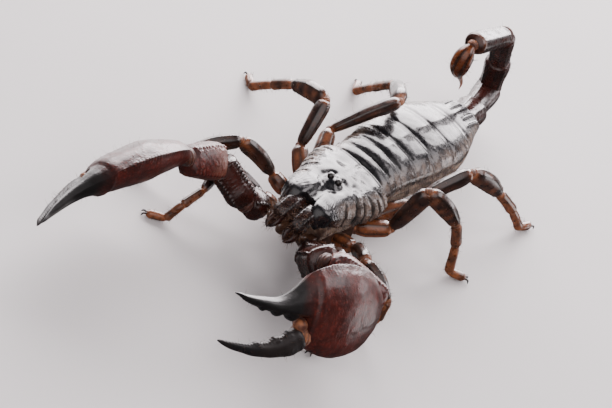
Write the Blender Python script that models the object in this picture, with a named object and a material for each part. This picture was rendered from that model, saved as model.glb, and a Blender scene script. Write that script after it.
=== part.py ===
"""A large black scorpion at rest with its tail curled over its back.

The animal faces -Y with its left side at +X, and stands on z = 0.
Sizes below are millimetres, and at() turns them into metres.
"""
import math

import bmesh
import bpy
from mathutils import Matrix, Vector

MM = 0.001
GAP = 0.3                   # clearance between neighbouring solids
BURY = 0.5 * GAP            # each neighbour gives up half of it
COLLECTION = "scorpion"
STANCE = "stance"           # empty that carries the whole animal
MIDDLE = (-3.552, -17.375)  # middle of the footprint, which becomes the origin
# colour and roughness of each kind of horn
FINISHES = {
    "black": ((0.012, 0.012, 0.016), 0.18),
    "brown": ((0.075, 0.022, 0.012), 0.30),
    "red": ((0.110, 0.022, 0.014), 0.28),
    "amber": ((0.260, 0.100, 0.035), 0.32),
    "belly": ((0.100, 0.055, 0.030), 0.40),
    "eye": ((0.004, 0.004, 0.005), 0.05),
}

# ---- trunk, front to rear -------------------------------------------------
NOSE_Y = -33.2              # tips of the two lobes of the carapace
WAIST_Y = -13.0             # carapace meets the first back plate
RUMP_Y = 27.0               # last back plate meets the tail
NOTCH_DEPTH = 2.2           # cleft between the two front lobes
NOTCH_WIDTH = 1.3
NOSE_DROP = 1.0             # the front edge is rounded over
CARAPACE_STEPS = 11
EYE_Y = -23.8               # eye tubercle
EYE_SPACING = 0.95
EYE_RADIUS = 0.75
EYE_RISE = 0.55             # share of the radius by which its centre stands over the tubercle
EYE_SEAT = 0.12             # the bead is cut flat this far above the tubercle
TUBERCLE_HEIGHT = 0.7
TUBERCLE_RADIUS = 1.7
CARAPACE_WIDTH = ((NOSE_Y, 5.0), (-31.0, 5.6), (-28.0, 6.1), (-23.0, 7.2), (-18.0, 8.5), (-15.0, 8.9),
                  (WAIST_Y, 8.5))
CARAPACE_CREST = ((NOSE_Y, 14.7), (-24.0, 15.0), (WAIST_Y, 13.9))
CARAPACE_SEAT = ((NOSE_Y, 11.5), (-30.0, 11.3), (-27.0, 9.9), (-24.0, 9.1), (WAIST_Y, 8.8))
CARAPACE_SQUARE = ((NOSE_Y, 4.2), (-24.0, 3.0), (WAIST_Y, 2.3))
BACK_WIDTH = ((WAIST_Y, 7.2), (-8.0, 7.4), (0.0, 8.4), (7.0, 9.0), (13.0, 8.9),
              (19.0, 7.3), (23.0, 5.7), (RUMP_Y, 4.3))
BACK_CREST = ((WAIST_Y, 13.6), (-4.0, 14.4), (7.0, 14.4), (15.0, 13.5), (22.0, 12.4), (RUMP_Y, 11.4))
BACK_SEAT = ((WAIST_Y, 8.8), (8.0, 8.6), (RUMP_Y, 7.4))
BACK_SQUARE = 2.0
BACK_EDGES = (WAIST_Y, -10.0, -6.6, -2.2, 3.4, 9.8, 17.2, RUMP_Y)
PLATE_LIP = 0.45            # the rear rim of a plate stands over the next one
LIP_LEVEL = 0.6             # share of a plate's length at which it has its nominal height
LIP_FLARE = 0.18            # the rear of a plate is a little wider than its front
PLATE_STATIONS = (0.0, 0.34, 0.80, 1.0)
PLATE_RIM = 0.9             # height of a plate's side edge above its seat
SEAT_INSET = 0.97           # a plate's seat is a little narrower than the plate
ARCH_POINTS = 12            # steps across a plate's arch
SPINE_BEND = ((NOSE_Y, 0.0), (-8.0, 0.0), (8.0, 0.7), (18.0, 1.5), (RUMP_Y, 1.7))
BELLY_WIDTH = ((WAIST_Y, 5.6), (-8.0, 5.9), (-3.0, 7.4), (5.0, 8.3), (13.0, 8.2),
               (20.0, 6.4), (RUMP_Y, 3.9))
BELLY_DEPTH = ((WAIST_Y, 3.6), (0.0, 3.2), (14.0, 3.6), (RUMP_Y, 5.2))
COXA_WIDTH = ((-36.0, 3.0), (-31.0, 4.3), (-28.0, 4.8), (-20.0, 6.0), (WAIST_Y, 6.0))
COXA_BOTTOM = ((-36.0, 4.6), (-31.0, 3.9), (-20.0, 3.5), (WAIST_Y, 3.6))
COXA_STEP_Y = -29.6         # behind this the coxae reach up to the carapace
COXA_STEP = 0.4             # length of the step itself
COXA_LEDGE_Z = 6.6          # before it they are a low shelf under the jaws
SHELF_STATIONS = (-36.0, -34.5, -32.5)
COXA_STATIONS = (-27.0, -23.0, -18.0)
BELLY_STATIONS = (-9.0, -4.0, 1.0, 7.0, 13.0, 18.0, 22.5)

# ---- jaws, combs ----------------------------------------------------------
JAW_X = 1.95
JAW_HALF_WIDTH = 1.75
JAW_REAR_Y = -30.4
JAW_FRONT_Y = -38.6
JAW_Z = 9.2
JAW_DIP = 0.4
JAW_SHAPE = ((0.0, 0.8, 0.75), (0.15, 1.0, 0.95), (0.55, 1.0, 1.0), (0.72, 0.8, 0.85),
             (0.88, 0.5, 0.5), (1.0, 0.22, 0.25))
COMB_ROOT = (1.0, -10.6, 2.4)
COMB_AIM = (0.94, 0.34)     # out to the side and a little to the rear
COMB_TEETH = 9
COMB_FRONT = 0.8            # its strip's edges before and behind its middle line
COMB_REAR = 0.7
COMB_LENGTH = 8.5
COMB_THICKNESS = 0.8
COMB_TOOTH = 1.5

# ---- tail -----------------------------------------------------------------
TAIL_JOINTS = ((1.7, 27.0, 8.2), (0.9, 34.9, 6.6), (-0.6, 43.4, 7.6), (-1.7, 40.6, 16.7),
               (-2.2, 34.2, 26.0), (-2.8, 19.4, 29.6))
TAIL_WIDTHS = (7.1, 6.1, 5.5, 5.1, 4.8)
TAIL_HEIGHTS = (6.1, 5.7, 5.3, 5.0, 4.4)
TELSON_PATH = ((-2.8, 19.3, 29.3), (-2.7, 18.0, 27.6), (-2.5, 17.7, 25.4), (-2.2, 18.3, 23.2),
               (-1.8, 19.6, 21.4), (-1.4, 21.2, 19.8), (-1.1, 22.3, 18.2), (-1.0, 22.6, 16.6))
TELSON_HALF_WIDTHS = (1.2, 1.6, 2.2, 2.15, 1.45, 0.8, 0.48, 0.27)

# ---- pincers --------------------------------------------------------------
PALP_ROOT = (6.2, -33.6, 7.5)
PALP_HIP = (8.1, -37.0, 8.1)
PALP_FEMUR = (3.3, 3.1)     # half thickness, half height
PALP_PATELLA = (3.5, 3.7)
HAND_LENGTH = 19.0
HAND_KNUCKLE = -3.9         # outer side, where the moving finger hinges
KNUCKLE_PLANE = 18.9        # the moving finger starts just beyond this
FINGER_REACH = 32.6         # wrist to the tip of the closed fingers
FINGER_TIP_W = 1.4
FINGER_DROOP = -4.2
FINGER_BASE = (2.5, 1.8)    # half width, half thickness
FINGER_RISE = 0.5
# along the hand: outer edge, inner edge, half thickness, and rise of the middle
PALM_ROWS = ((0.2, -2.3, 2.2, 1.5, 0.6), (1.2, -4.8, 3.8, 2.2, 0.8), (3.4, -7.3, 5.6, 2.9, 1.1),
             (6.5, -8.5, 7.1, 3.4, 1.2), (10.0, -8.8, 8.2, 3.5, 1.2), (13.5, -8.2, 8.4, 3.4, 1.0),
             (16.5, -7.0, 8.0, 3.1, 0.7), (18.3, -5.9, 7.4, 2.8, 0.4))
FIXED_FINGER_ROWS = ((18.7, -0.8, 7.1, 2.6), (20.2, -0.6, 5.6, 2.3), (22.0, -0.4, 3.9, 2.0),
                     (24.4, -0.1, 2.6, 1.6), (27.4, 0.6, 2.5, 1.15), (30.2, 1.6, 2.7, 0.7),
                     (31.8, 2.4, 3.0, 0.3))

# ---- legs: half thickness and half height of each length ------------------
LEG_SCALE = (0.80, 0.88, 1.0, 1.05)
TROCHANTER = (1.75, 1.75)
LEG_FEMUR = (1.25, 1.95)
LEG_PATELLA = (1.2, 1.8)
TIBIA = (1.0, 1.15)
BASITARSUS = (0.8, 0.9)
TARSUS = (0.72, 0.8)
ANKLE_Z = 1.12              # joint heights of a leg of full size
TOE_Z = 0.30
TOE_LENGTH = 4.2
# hips of the four pairs: where the trochanter leaves the body, and where it meets the femur
LEG_ROOTS = ((5.3, -29.6, 5.6), (6.2, -24.6, 5.8), (6.9, -18.4, 5.7), (6.9, -14.0, 5.6))
LEG_HIPS = ((8.4, -30.8, 6.6), (10.5, -25.2, 7.5), (12.0, -14.6, 8.3), (10.9, -6.8, 9.9))


def at(x, y, z):
    """A point given in millimetres."""
    return Vector((x, y, z)) * MM


def profile(stations, y):
    """Value of a (place, value) outline at y, eased between its stations."""
    if y <= stations[0][0]:
        return stations[0][1]
    for (y0, v0), (y1, v1) in zip(stations, stations[1:]):
        if y <= y1:
            share = (y - y0) / (y1 - y0)
            return v0 + (v1 - v0) * share
    return stations[-1][1]


def finish(name, kind):
    """The material of one piece of horn: its colour and gloss."""
    colour, roughness = FINISHES[kind]
    material = bpy.data.materials.new(name)
    material.use_nodes = True
    shader = material.node_tree.nodes["Principled BSDF"]
    shader.inputs["Base Color"].default_value = (*colour, 1.0)
    shader.inputs["Roughness"].default_value = roughness
    shader.inputs["Metallic"].default_value = 0.0
    return material



def add_solid(name, bm, kind):
    """Put a finished bmesh in the scene as one named, smooth object."""
    bmesh.ops.recalc_face_normals(bm, faces=bm.faces)
    mesh = bpy.data.meshes.new(name)
    bm.to_mesh(mesh)
    bm.free()
    mesh.shade_smooth()
    mesh.set_sharp_from_angle(angle=math.radians(42.0))
    solid = bpy.data.objects.new(name, mesh)
    solid.data.materials.append(finish(name, kind))
    bpy.data.collections[COLLECTION].objects.link(solid)
    solid.parent = bpy.data.objects[STANCE]


def loft(rings):
    """Join rings of equal length into one closed skin with flat ends."""
    bm = bmesh.new()
    loops = [[bm.verts.new(point) for point in ring] for ring in rings]
    count = len(rings[0])
    for near, far in zip(loops, loops[1:]):
        for k in range(count):
            m = (k + 1) % count
            bm.faces.new((near[k], near[m], far[m], far[k]))
    bm.faces.new(loops[0])
    bm.faces.new(loops[-1])
    return bm


def oval(centre, side, up, half_side, half_up, count, square=2.0):
    """A ring of points, round at square = 2 and boxier above it."""
    points = []
    for k in range(count):
        angle = 2.0 * math.pi * (k + 0.5) / count
        u = math.copysign(abs(math.cos(angle)) ** (2.0 / square), math.cos(angle))
        v = math.copysign(abs(math.sin(angle)) ** (2.0 / square), math.sin(angle))
        points.append(centre + side * (u * half_side * MM) + up * (v * half_up * MM))
    return points


def push_behind(points, plane_point, normal):
    """Move every point that has crossed a joint's plane back to it."""
    moved = []
    for point in points:
        past = (point - plane_point).dot(normal) + BURY * MM
        moved.append(point - normal * past if past > 0.0 else point)
    return moved


class Limb:
    """A jointed limb whose neighbours meet at mitred faces."""

    def __init__(self, joints, side, start=None, end=None):
        self.joints = [Vector(joint) for joint in joints]
        self.side = side
        spans = zip(self.joints, self.joints[1:])
        self.aims = [(far - near).normalized() for near, far in spans]
        self.normals = [start or self.aims[0]]
        for before, after in zip(self.aims, self.aims[1:]):
            self.normals.append((before + after).normalized())
        self.normals.append(end or self.aims[-1])

    def rings(self, first, last, shapes, count, square=2.0, drift=None):
        """Rings from joint first to joint last; shapes hold (share, half side, half up).

        drift carries the far end away from the joint, for a limb that is jointed on its flank.
        """
        rings = []
        drift = drift or Vector()
        for span, shape in zip(range(first, last), shapes):
            near, far = self.joints[span], self.joints[span + 1]
            aim = self.aims[span]
            for share, half_side, half_up in shape:
                if share < 0.5:
                    normal = self.normals[span].lerp(aim, min(1.0, share * 4.0)).normalized()
                else:
                    back = min(1.0, (1.0 - share) * 4.0)
                    normal = self.normals[span + 1].lerp(aim, back).normalized()
                across = (self.side - normal * self.side.dot(normal)).normalized()
                up = across.cross(normal)
                centre = near.lerp(far, share) + drift * share
                rings.append(oval(centre, across, up, half_side, half_up, count, square))
        opening, closing = len(shapes[0]), len(rings) - len(shapes[-1])
        for index, points in enumerate(rings):
            if index < opening:
                points = push_behind(points, self.joints[first], -self.normals[first])
            if index >= closing:
                points = push_behind(points, self.joints[last], self.normals[last])
            rings[index] = points
        return rings


def scaled(stations, size, scale=1.0):
    """Turn (share, thickness, height) shares into half sizes in millimetres."""
    return [(share, a * size[0] * scale, b * size[1] * scale) for share, a, b in stations]


# ---- trunk ----------------------------------------------------------------

def shield_ring(y, front_share, half_width, crest, seat, square):
    """One cross-section of a back plate: an arch over a flat seat."""
    ring = []
    middle = profile(SPINE_BEND, y)
    rim = seat + PLATE_RIM
    for k in range(ARCH_POINTS + 1):
        angle = math.pi * k / ARCH_POINTS
        x = half_width * math.copysign(abs(math.cos(angle)) ** (2.0 / square), math.cos(angle))
        z = rim + (crest - rim) * math.sin(angle) ** (2.0 / square)
        cleft = NOTCH_DEPTH * math.exp(-(x / NOTCH_WIDTH) ** 2) * front_share
        ring.append(at(middle + x, y + cleft, z))
    for k in range(ARCH_POINTS + 1):
        x = -half_width * math.cos(math.pi * k / ARCH_POINTS) * SEAT_INSET
        cleft = NOTCH_DEPTH * math.exp(-(x / NOTCH_WIDTH) ** 2) * front_share
        ring.append(at(middle + x, y + cleft, seat))
    return ring


def build_carapace():
    """The head shield: two front lobes, a notch between them and an eye tubercle."""
    rings = []
    for k in range(CARAPACE_STEPS + 1):
        share = k / CARAPACE_STEPS
        y = NOSE_Y + (WAIST_Y - BURY - NOSE_Y) * share
        front = max(0.0, 1.0 - share * 3.0) ** 2
        tip = 1.0 - 0.10 * max(0.0, 1.0 - share * 6.0)
        ring = shield_ring(y, front, profile(CARAPACE_WIDTH, y) * tip,
                           profile(CARAPACE_CREST, y) - (NOSE_DROP if k == 0 else 0.0),
                           profile(CARAPACE_SEAT, y), profile(CARAPACE_SQUARE, y))
        for point in ring[:ARCH_POINTS + 1]:
            reach = math.hypot(point.x / MM, point.y / MM - EYE_Y) / TUBERCLE_RADIUS
            point.z += TUBERCLE_HEIGHT * MM * math.exp(-reach ** 2)
        rings.append(ring)
    add_solid("carapace", loft(rings), "black")


def build_back_plates():
    """Seven overlapping plates, each with a raised rear rim."""
    for index, (front, rear) in enumerate(zip(BACK_EDGES, BACK_EDGES[1:])):
        rings = []
        near, far = front + BURY, rear - BURY
        for share in PLATE_STATIONS:
            y = near + (far - near) * share
            crest = profile(BACK_CREST, y) + PLATE_LIP * (share - LIP_LEVEL)
            width = profile(BACK_WIDTH, y) + LIP_FLARE * (share - 0.5)
            rings.append(shield_ring(y, 0.0, width, crest, profile(BACK_SEAT, y), BACK_SQUARE))
        add_solid(f"back_plate_{index + 1}", loft(rings), "black")


def underside_ring(y, half_width, top, bottom):
    """A cross-section that is flat on top and rounded below."""
    middle = profile(SPINE_BEND, y)
    ring = []
    count = 8
    for k in range(count + 1):
        angle = math.pi * k / count
        x = half_width * math.copysign(abs(math.cos(angle)) ** 0.6, math.cos(angle))
        ring.append(at(middle + x, y, top - (top - bottom) * (0.25 + 0.75 * math.sin(angle) ** 0.6)))
    ring.append(at(middle - half_width, y, top))
    ring.append(at(middle + half_width, y, top))
    return ring


def build_underside():
    """The belly under the back plates, and the coxae under the carapace."""
    belly = []
    for y in (WAIST_Y + BURY, *BELLY_STATIONS, RUMP_Y - BURY):
        top = profile(BACK_SEAT, y) - GAP
        belly.append(underside_ring(y, profile(BELLY_WIDTH, y), top, profile(BELLY_DEPTH, y)))
    add_solid("belly", loft(belly), "belly")
    coxae = []
    for y in (*SHELF_STATIONS, COXA_STEP_Y - COXA_STEP):
        coxae.append(underside_ring(y, profile(COXA_WIDTH, y), COXA_LEDGE_Z,
                                    profile(COXA_BOTTOM, y)))
    for y in (COXA_STEP_Y, *COXA_STATIONS, WAIST_Y - BURY):
        top = profile(CARAPACE_SEAT, y) - GAP
        coxae.append(underside_ring(y, profile(COXA_WIDTH, y), top, profile(COXA_BOTTOM, y)))
    add_solid("coxae", loft(coxae), "brown")


def build_eye(name, sign):
    """A middle eye: a bead on the side of the tubercle."""
    bm = bmesh.new()
    crest = profile(CARAPACE_CREST, EYE_Y) + TUBERCLE_HEIGHT
    centre = at(sign * EYE_SPACING, EYE_Y, crest + EYE_RADIUS * EYE_RISE)
    bmesh.ops.create_uvsphere(bm, u_segments=12, v_segments=7, radius=EYE_RADIUS * MM,
                              matrix=Matrix.Translation(centre))
    floor = at(0.0, 0.0, crest + EYE_SEAT)
    geometry = bm.verts[:] + bm.edges[:] + bm.faces[:]
    bmesh.ops.bisect_plane(bm, geom=geometry, plane_co=floor, plane_no=(0.0, 0.0, -1.0),
                           clear_outer=True)
    bmesh.ops.holes_fill(bm, edges=bm.edges[:], sides=0)
    add_solid(name, bm, "eye")


def build_jaw(name, sign):
    """A stout chelicera that tapers to its short pincer."""
    rings = []
    length = JAW_FRONT_Y - JAW_REAR_Y
    for share, width, height in JAW_SHAPE:
        centre = at(sign * JAW_X, JAW_REAR_Y + length * share, JAW_Z - JAW_DIP * share)
        rings.append(oval(centre, Vector((1.0, 0.0, 0.0)), Vector((0.0, 0.0, 1.0)),
                          JAW_HALF_WIDTH * width, JAW_HALF_WIDTH * height, 10, 2.6))
    add_solid(name, loft(rings), "brown")


def build_comb(name, sign):
    """A pecten: a flat strip under the belly whose rear edge is a row of teeth."""
    rings = []
    steps = 2 * COMB_TEETH
    aim = Vector((sign * COMB_AIM[0], COMB_AIM[1], 0.0)).normalized()
    across = Vector((-sign * aim.y, sign * aim.x, 0.0))
    for k in range(steps + 1):
        share = k / steps
        tooth = COMB_TOOTH if k % 2 else 0.0
        root = at(sign * COMB_ROOT[0], COMB_ROOT[1], COMB_ROOT[2])
        centre = root + aim * (COMB_LENGTH * share * MM)
        front = centre - across * (COMB_FRONT * MM)
        rear = centre + across * ((COMB_REAR + tooth) * MM)
        high = Vector((0.0, 0.0, 0.5 * COMB_THICKNESS * MM))
        rings.append([front - high, rear - high, rear + high, front + high])
    add_solid(name, loft(rings), "amber")


# ---- tail -----------------------------------------------------------------

def build_tail():
    """Five ringed segments that curl up and forward."""
    limb = Limb([at(*joint) for joint in TAIL_JOINTS], Vector((1.0, 0.0, 0.0)),
                start=Vector((0.0, 1.0, 0.0)))
    shape = ((0.0, 0.82, 0.80), (0.10, 0.90, 0.90), (0.45, 0.97, 0.97), (0.86, 1.0, 1.0), (1.0, 0.84, 0.80))
    for index, (width, height) in enumerate(zip(TAIL_WIDTHS, TAIL_HEIGHTS)):
        stations = scaled(shape, (0.5 * width, 0.5 * height))
        rings = limb.rings(index, index + 1, [stations], 12, 2.8)
        add_solid(f"tail_{index + 1}", loft(rings), "brown")


def build_telson():
    """The sting: a round bulb that narrows to a curved point."""
    path = [at(*point) for point in TELSON_PATH]
    tail_end = (Vector(TAIL_JOINTS[-1]) - Vector(TAIL_JOINTS[-2])).normalized()
    limb = Limb(path, Vector((1.0, 0.0, 0.0)), start=tail_end)
    rings = []
    for index, (point, half) in enumerate(zip(path, TELSON_HALF_WIDTHS)):
        normal = limb.normals[index]
        across = (limb.side - normal * limb.side.dot(normal)).normalized()
        rings.append(oval(point, across, across.cross(normal), half, half * 0.95, 12))
    rings[:2] = [push_behind(ring, path[0], -tail_end) for ring in rings[:2]]
    add_solid("telson", loft(rings), "brown")


# ---- pincers --------------------------------------------------------------

class Hand:
    """Axes of one pincer: along the hand, across towards the fixed finger, and out of its face."""

    def __init__(self, wrist, yaw, pitch, roll, sign, opening):
        self.wrist = at(*wrist)
        yaw, pitch, roll = (math.radians(angle) for angle in (yaw, pitch, roll))
        self.along = Vector((-sign * math.sin(yaw) * math.cos(pitch),
                             -math.cos(yaw) * math.cos(pitch), math.sin(pitch)))
        inner = self.along.cross(Vector((0.0, 0.0, 1.0))).normalized() * sign
        up = (inner.cross(self.along) * sign).normalized()
        self.across = inner * math.cos(roll) + up * math.sin(roll)
        self.out = self.along.cross(self.across) * -sign
        self.opening = math.radians(opening)

    def point(self, s, w, n):
        """A place s along, w across and n out of the hand."""
        return self.wrist + (self.along * s + self.across * w + self.out * n) * MM

    def section(self, s, low, high, thick, offset, tilt=0.0):
        """A flat oval section from w = low to w = high."""
        centre = self.point(s, 0.5 * (low + high), offset)
        side = (self.across + self.along * tilt).normalized()
        return oval(centre, side, self.out, 0.5 * (high - low), thick, 14, 2.2)


def hand_rings(hand):
    """The palm and its fixed finger, from the wrist out."""
    rings = [hand.section(*row) for row in PALM_ROWS]
    for s, low, high, thick in FIXED_FINGER_ROWS:
        reach = max(0.0, s - HAND_LENGTH) / (FINGER_REACH - HAND_LENGTH)
        rings.append(hand.section(s, low, high, thick, FINGER_DROOP * reach ** 1.5))
    return rings


def moving_finger_rings(hand):
    """The outer finger, turned about its knuckle by the opening angle."""
    length = FINGER_REACH - HAND_LENGTH
    rings = []
    turn, lean = math.cos(hand.opening), math.sin(hand.opening)
    for share, scale in ((0.0, 0.92), (0.12, 1.0), (0.4, 0.78), (0.7, 0.52), (0.9, 0.30), (1.0, 0.14)):
        s = length * share
        w = (FINGER_TIP_W - HAND_KNUCKLE) * share ** 1.4
        centre = hand.point(HAND_LENGTH + s * turn + w * lean, HAND_KNUCKLE - s * lean + w * turn,
                            FINGER_DROOP * share ** 1.5 + FINGER_RISE * (1.0 - share))
        side = hand.across * turn + hand.along * lean
        rings.append(oval(centre, side, hand.out, FINGER_BASE[0] * scale, FINGER_BASE[1] * scale, 10))
    knuckle = hand.point(KNUCKLE_PLANE, 0.0, 0.0)
    return [push_behind(ring, knuckle, -hand.along) for ring in rings]


def build_pincer(tag, sign, elbow, hand, overhang):
    """Trochanter, femur, patella, hand and moving finger of one side.

    overhang carries the end of the patella past the wrist, since the hand joins it on a flank.
    """
    root = at(sign * PALP_ROOT[0], PALP_ROOT[1], PALP_ROOT[2])
    hip = at(sign * PALP_HIP[0], PALP_HIP[1], PALP_HIP[2])
    joints = [root, hip, at(*elbow), hand.wrist, hand.point(HAND_LENGTH, 0.0, 0.0)]
    limb = Limb(joints, Vector((0.0, 0.0, 1.0)), start=Vector((sign * 0.8, -0.6, 0.0)))
    stub = ((0.0, 0.80, 0.80), (0.5, 1.0, 1.0), (1.0, 0.72, 0.72))
    femur = ((0.0, 0.70, 0.70), (0.15, 0.92, 0.90), (0.6, 1.0, 1.0), (0.88, 0.96, 0.95), (1.0, 0.72, 0.72))
    patella = ((0.0, 0.62, 0.62), (0.18, 0.92, 0.92), (0.5, 1.0, 1.0), (0.82, 0.98, 1.0),
               (0.94, 0.86, 0.90), (1.0, 0.60, 0.66))
    parts = (("trochanter", stub, (2.9, 2.9), "brown"), ("femur", femur, PALP_FEMUR, "brown"),
             ("patella", patella, PALP_PATELLA, "red"))
    for index, (name, shape, size, kind) in enumerate(parts):
        drift = at(*overhang) if name == "patella" else None
        rings = limb.rings(index, index + 1, [scaled(shape, size)], 12, 2.6, drift)
        add_solid(f"pincer_{tag}_{name}", loft(rings), kind)
    rings = [push_behind(ring, hand.wrist, -limb.normals[3]) for ring in hand_rings(hand)]
    add_solid(f"pincer_{tag}_hand", loft(rings), "red")
    add_solid(f"pincer_{tag}_finger", loft(moving_finger_rings(hand)), "black")


# ---- legs -----------------------------------------------------------------

def trim_at_floor(bm):
    """Cut the sole of a foot level with the floor."""
    geometry = bm.verts[:] + bm.edges[:] + bm.faces[:]
    bmesh.ops.bisect_plane(bm, geom=geometry, plane_co=(0.0, 0.0, 0.0), plane_no=(0.0, 0.0, -1.0),
                           clear_outer=True)
    bmesh.ops.holes_fill(bm, edges=bm.edges[:], sides=0)


def build_leg(tag, pair, sign, knee, shin, ankle, toe_heading, bow):
    """One leg in three lengths: thigh with its trochanter, patella, and shin with its foot.

    knee, shin and ankle are the places of the joints, toe_heading is the direction of the
    toe in degrees from -Y towards the leg's own side, and bow pushes the lower joint out.
    """
    root, hip = LEG_ROOTS[pair - 1], LEG_HIPS[pair - 1]
    root = at(sign * root[0], root[1], root[2])
    hip = at(sign * hip[0], hip[1], hip[2])
    scale = LEG_SCALE[pair - 1]
    ankle = at(ankle[0], ankle[1], ANKLE_Z * scale)
    shin = at(*shin)
    heading = math.radians(toe_heading)
    toe_way = Vector((sign * math.sin(heading), -math.cos(heading), 0.0))
    toe = ankle + toe_way * (TOE_LENGTH * MM)
    toe.z = TOE_Z * scale * MM
    instep = shin.lerp(ankle, 0.49) + at(sign * bow[0], bow[1], bow[2])
    reach = toe - hip
    side = Vector((-reach.y, reach.x, 0.0)).normalized() * sign
    limb = Limb([root, hip, at(*knee), shin, instep, ankle, toe], side,
                start=Vector((sign * 0.99, -0.12, 0.0)))
    bulb = scaled(((0.0, 0.80, 0.80), (0.5, 1.0, 1.0), (0.92, 0.78, 0.80)), TROCHANTER, scale)
    femur = scaled(((0.06, 0.72, 0.56), (0.18, 0.95, 0.86), (0.5, 1.0, 1.0), (0.86, 0.92, 0.86),
                    (1.0, 0.80, 0.62)), LEG_FEMUR, scale)
    patella = scaled(((0.0, 0.82, 0.64), (0.16, 0.96, 0.90), (0.45, 1.0, 1.0), (0.85, 0.88, 0.74),
                      (1.0, 0.74, 0.56)), LEG_PATELLA, scale)
    tibia = scaled(((0.0, 0.88, 0.88), (0.2, 1.0, 1.0), (0.85, 0.90, 0.92)), TIBIA, scale)
    basitarsus = scaled(((0.05, 0.95, 0.95), (0.5, 1.0, 1.0), (0.9, 0.92, 0.95)), BASITARSUS, scale)
    tarsus = scaled(((0.1, 0.95, 0.9), (0.55, 1.0, 1.0), (0.9, 0.75, 0.75), (1.0, 0.5, 0.55)), TARSUS, scale)
    thigh = loft(limb.rings(0, 2, [bulb, femur], 8, 2.3))
    add_solid(f"leg_{tag}_{pair}_thigh", thigh, "amber")
    add_solid(f"leg_{tag}_{pair}_patella", loft(limb.rings(2, 3, [patella], 8, 2.3)), "amber")
    foot = loft(limb.rings(3, 6, [tibia, basitarsus, tarsus], 8, 2.1))
    trim_at_floor(foot)
    add_solid(f"leg_{tag}_{pair}_foot", foot, "amber")


def build_legs():
    """All eight legs in their resting places."""
    right = (
        (1, (-16.8, -33.6, 8.4), (-15.0, -41.3, 6.9), (-16.6, -46.9), 55.0, (-0.2, -1.2, 0.8)),
        (2, (-17.2, -29.8, 12.5), (-22.8, -36.6, 8.2), (-27.8, -42.8), 14.0, (0.0, 0.0, 0.4)),
        (3, (-13.9, -9.4, 16.8), (-22.5, -5.6, 11.4), (-31.2, -2.0), 135.0, (0.0, 0.0, 0.2)),
        (4, (-4.9, 3.5, 18.6), (-10.5, 13.3, 13.7), (-18.7, 20.0), 158.0, (0.0, 0.0, 0.2)),
    )
    left = (
        (1, (12.5, -35.5, 12.5), (18.0, -39.0, 8.0), (18.5, -42.5), 14.0, (0.6, -0.6, 0.4)),
        (2, (15.4, -31.0, 12.0), (23.0, -32.3, 9.8), (22.0, -33.2), 10.0, (1.0, 0.0, 0.0)),
        (3, (13.7, -12.8, 19.4), (20.4, -7.2, 13.7), (23.8, -3.6), 128.0, (0.0, 0.8, 0.4)),
        (4, (15.3, 1.9, 18.4), (20.2, 11.7, 12.0), (25.6, 22.3), 165.0, (0.5, 0.2, 0.3)),
    )
    for tag, sign, poses in (("right", -1, right), ("left", 1, left)):
        for pair, knee, shin, ankle, heading, bow in poses:
            build_leg(tag, pair, sign, knee, shin, ankle, heading, bow)


def main():
    """Build the whole animal."""
    for old in list(bpy.data.objects):
        bpy.data.objects.remove(old, do_unlink=True)
    collection = bpy.data.collections.get(COLLECTION) or bpy.data.collections.new(COLLECTION)
    if collection.name not in bpy.context.scene.collection.children:
        bpy.context.scene.collection.children.link(collection)
    stance = bpy.data.objects.new(STANCE, None)
    stance.location = at(-MIDDLE[0], -MIDDLE[1], 0.0)
    collection.objects.link(stance)
    build_carapace()
    build_back_plates()
    build_underside()
    for tag, sign in (("right", -1), ("left", 1)):
        build_eye(f"eye_{tag}", sign)
        build_jaw(f"jaw_{tag}", sign)
        build_comb(f"comb_{tag}", sign)
    build_tail()
    build_telson()
    build_pincer("right", -1, (-15.8, -39.4, 13.3),
                 Hand((-18.3, -48.1, 16.5), -17.1, -8.2, 58.7, -1, 0.0), (0.0, 0.0, -1.0))
    build_pincer("left", 1, (12.2, -43.6, 16.2),
                 Hand((22.6, -39.6, 13.5), 17.4, 10.1, 61.4, 1, 27.6), (0.7, 1.8, 0.2))
    build_legs()


main()
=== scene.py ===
"""Looks of a large-clawed black scorpion: shell plates, keels, grains, soft joints, bristles and claws.

Lengths in the dataclass fields are millimetres in the animal's own axes: it faces -Y, its left side
is +X and it stands on z = 0. MIDDLE is the middle of its footprint, which is the frame's origin.
"""
import logging
import math
from dataclasses import dataclass, field
from enum import Enum

import bpy
import numpy as np
from mathutils import Matrix, Vector


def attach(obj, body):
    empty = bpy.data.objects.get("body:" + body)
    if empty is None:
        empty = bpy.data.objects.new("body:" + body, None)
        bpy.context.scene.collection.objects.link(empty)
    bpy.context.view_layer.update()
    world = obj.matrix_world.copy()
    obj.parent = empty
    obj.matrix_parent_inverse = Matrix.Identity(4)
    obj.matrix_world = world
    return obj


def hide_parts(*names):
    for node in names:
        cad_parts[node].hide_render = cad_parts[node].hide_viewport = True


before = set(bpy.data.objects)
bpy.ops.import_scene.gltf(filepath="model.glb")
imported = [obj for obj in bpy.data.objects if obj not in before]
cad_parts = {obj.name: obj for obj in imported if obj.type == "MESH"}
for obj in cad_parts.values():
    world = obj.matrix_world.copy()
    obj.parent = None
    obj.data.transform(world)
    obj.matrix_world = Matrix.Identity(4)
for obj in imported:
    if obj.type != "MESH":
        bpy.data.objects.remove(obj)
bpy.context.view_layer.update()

log = logging.getLogger("scorpion")

MIDDLE = np.array([-3.552, -17.375, 0.0])
MM = 0.001
UP = np.array([0.0, 0.0, 1.0])
ACROSS = np.array([1.0, 0.0, 0.0])
SIDES = (("right", -1), ("left", 1))
LEG_ROOTS = ((5.3, -29.6, 5.6), (6.2, -24.6, 5.8), (6.9, -18.4, 5.7), (6.9, -14.0, 5.6))
CHARTS = 8         # the bristles' map has this many charts along each side, one for each patch with hairs
TUFT = 0.003       # side of one bristle's square on that map

Socket = bpy.types.NodeSocket
Value = float | tuple | Socket


# ---- numbers and curves

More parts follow.
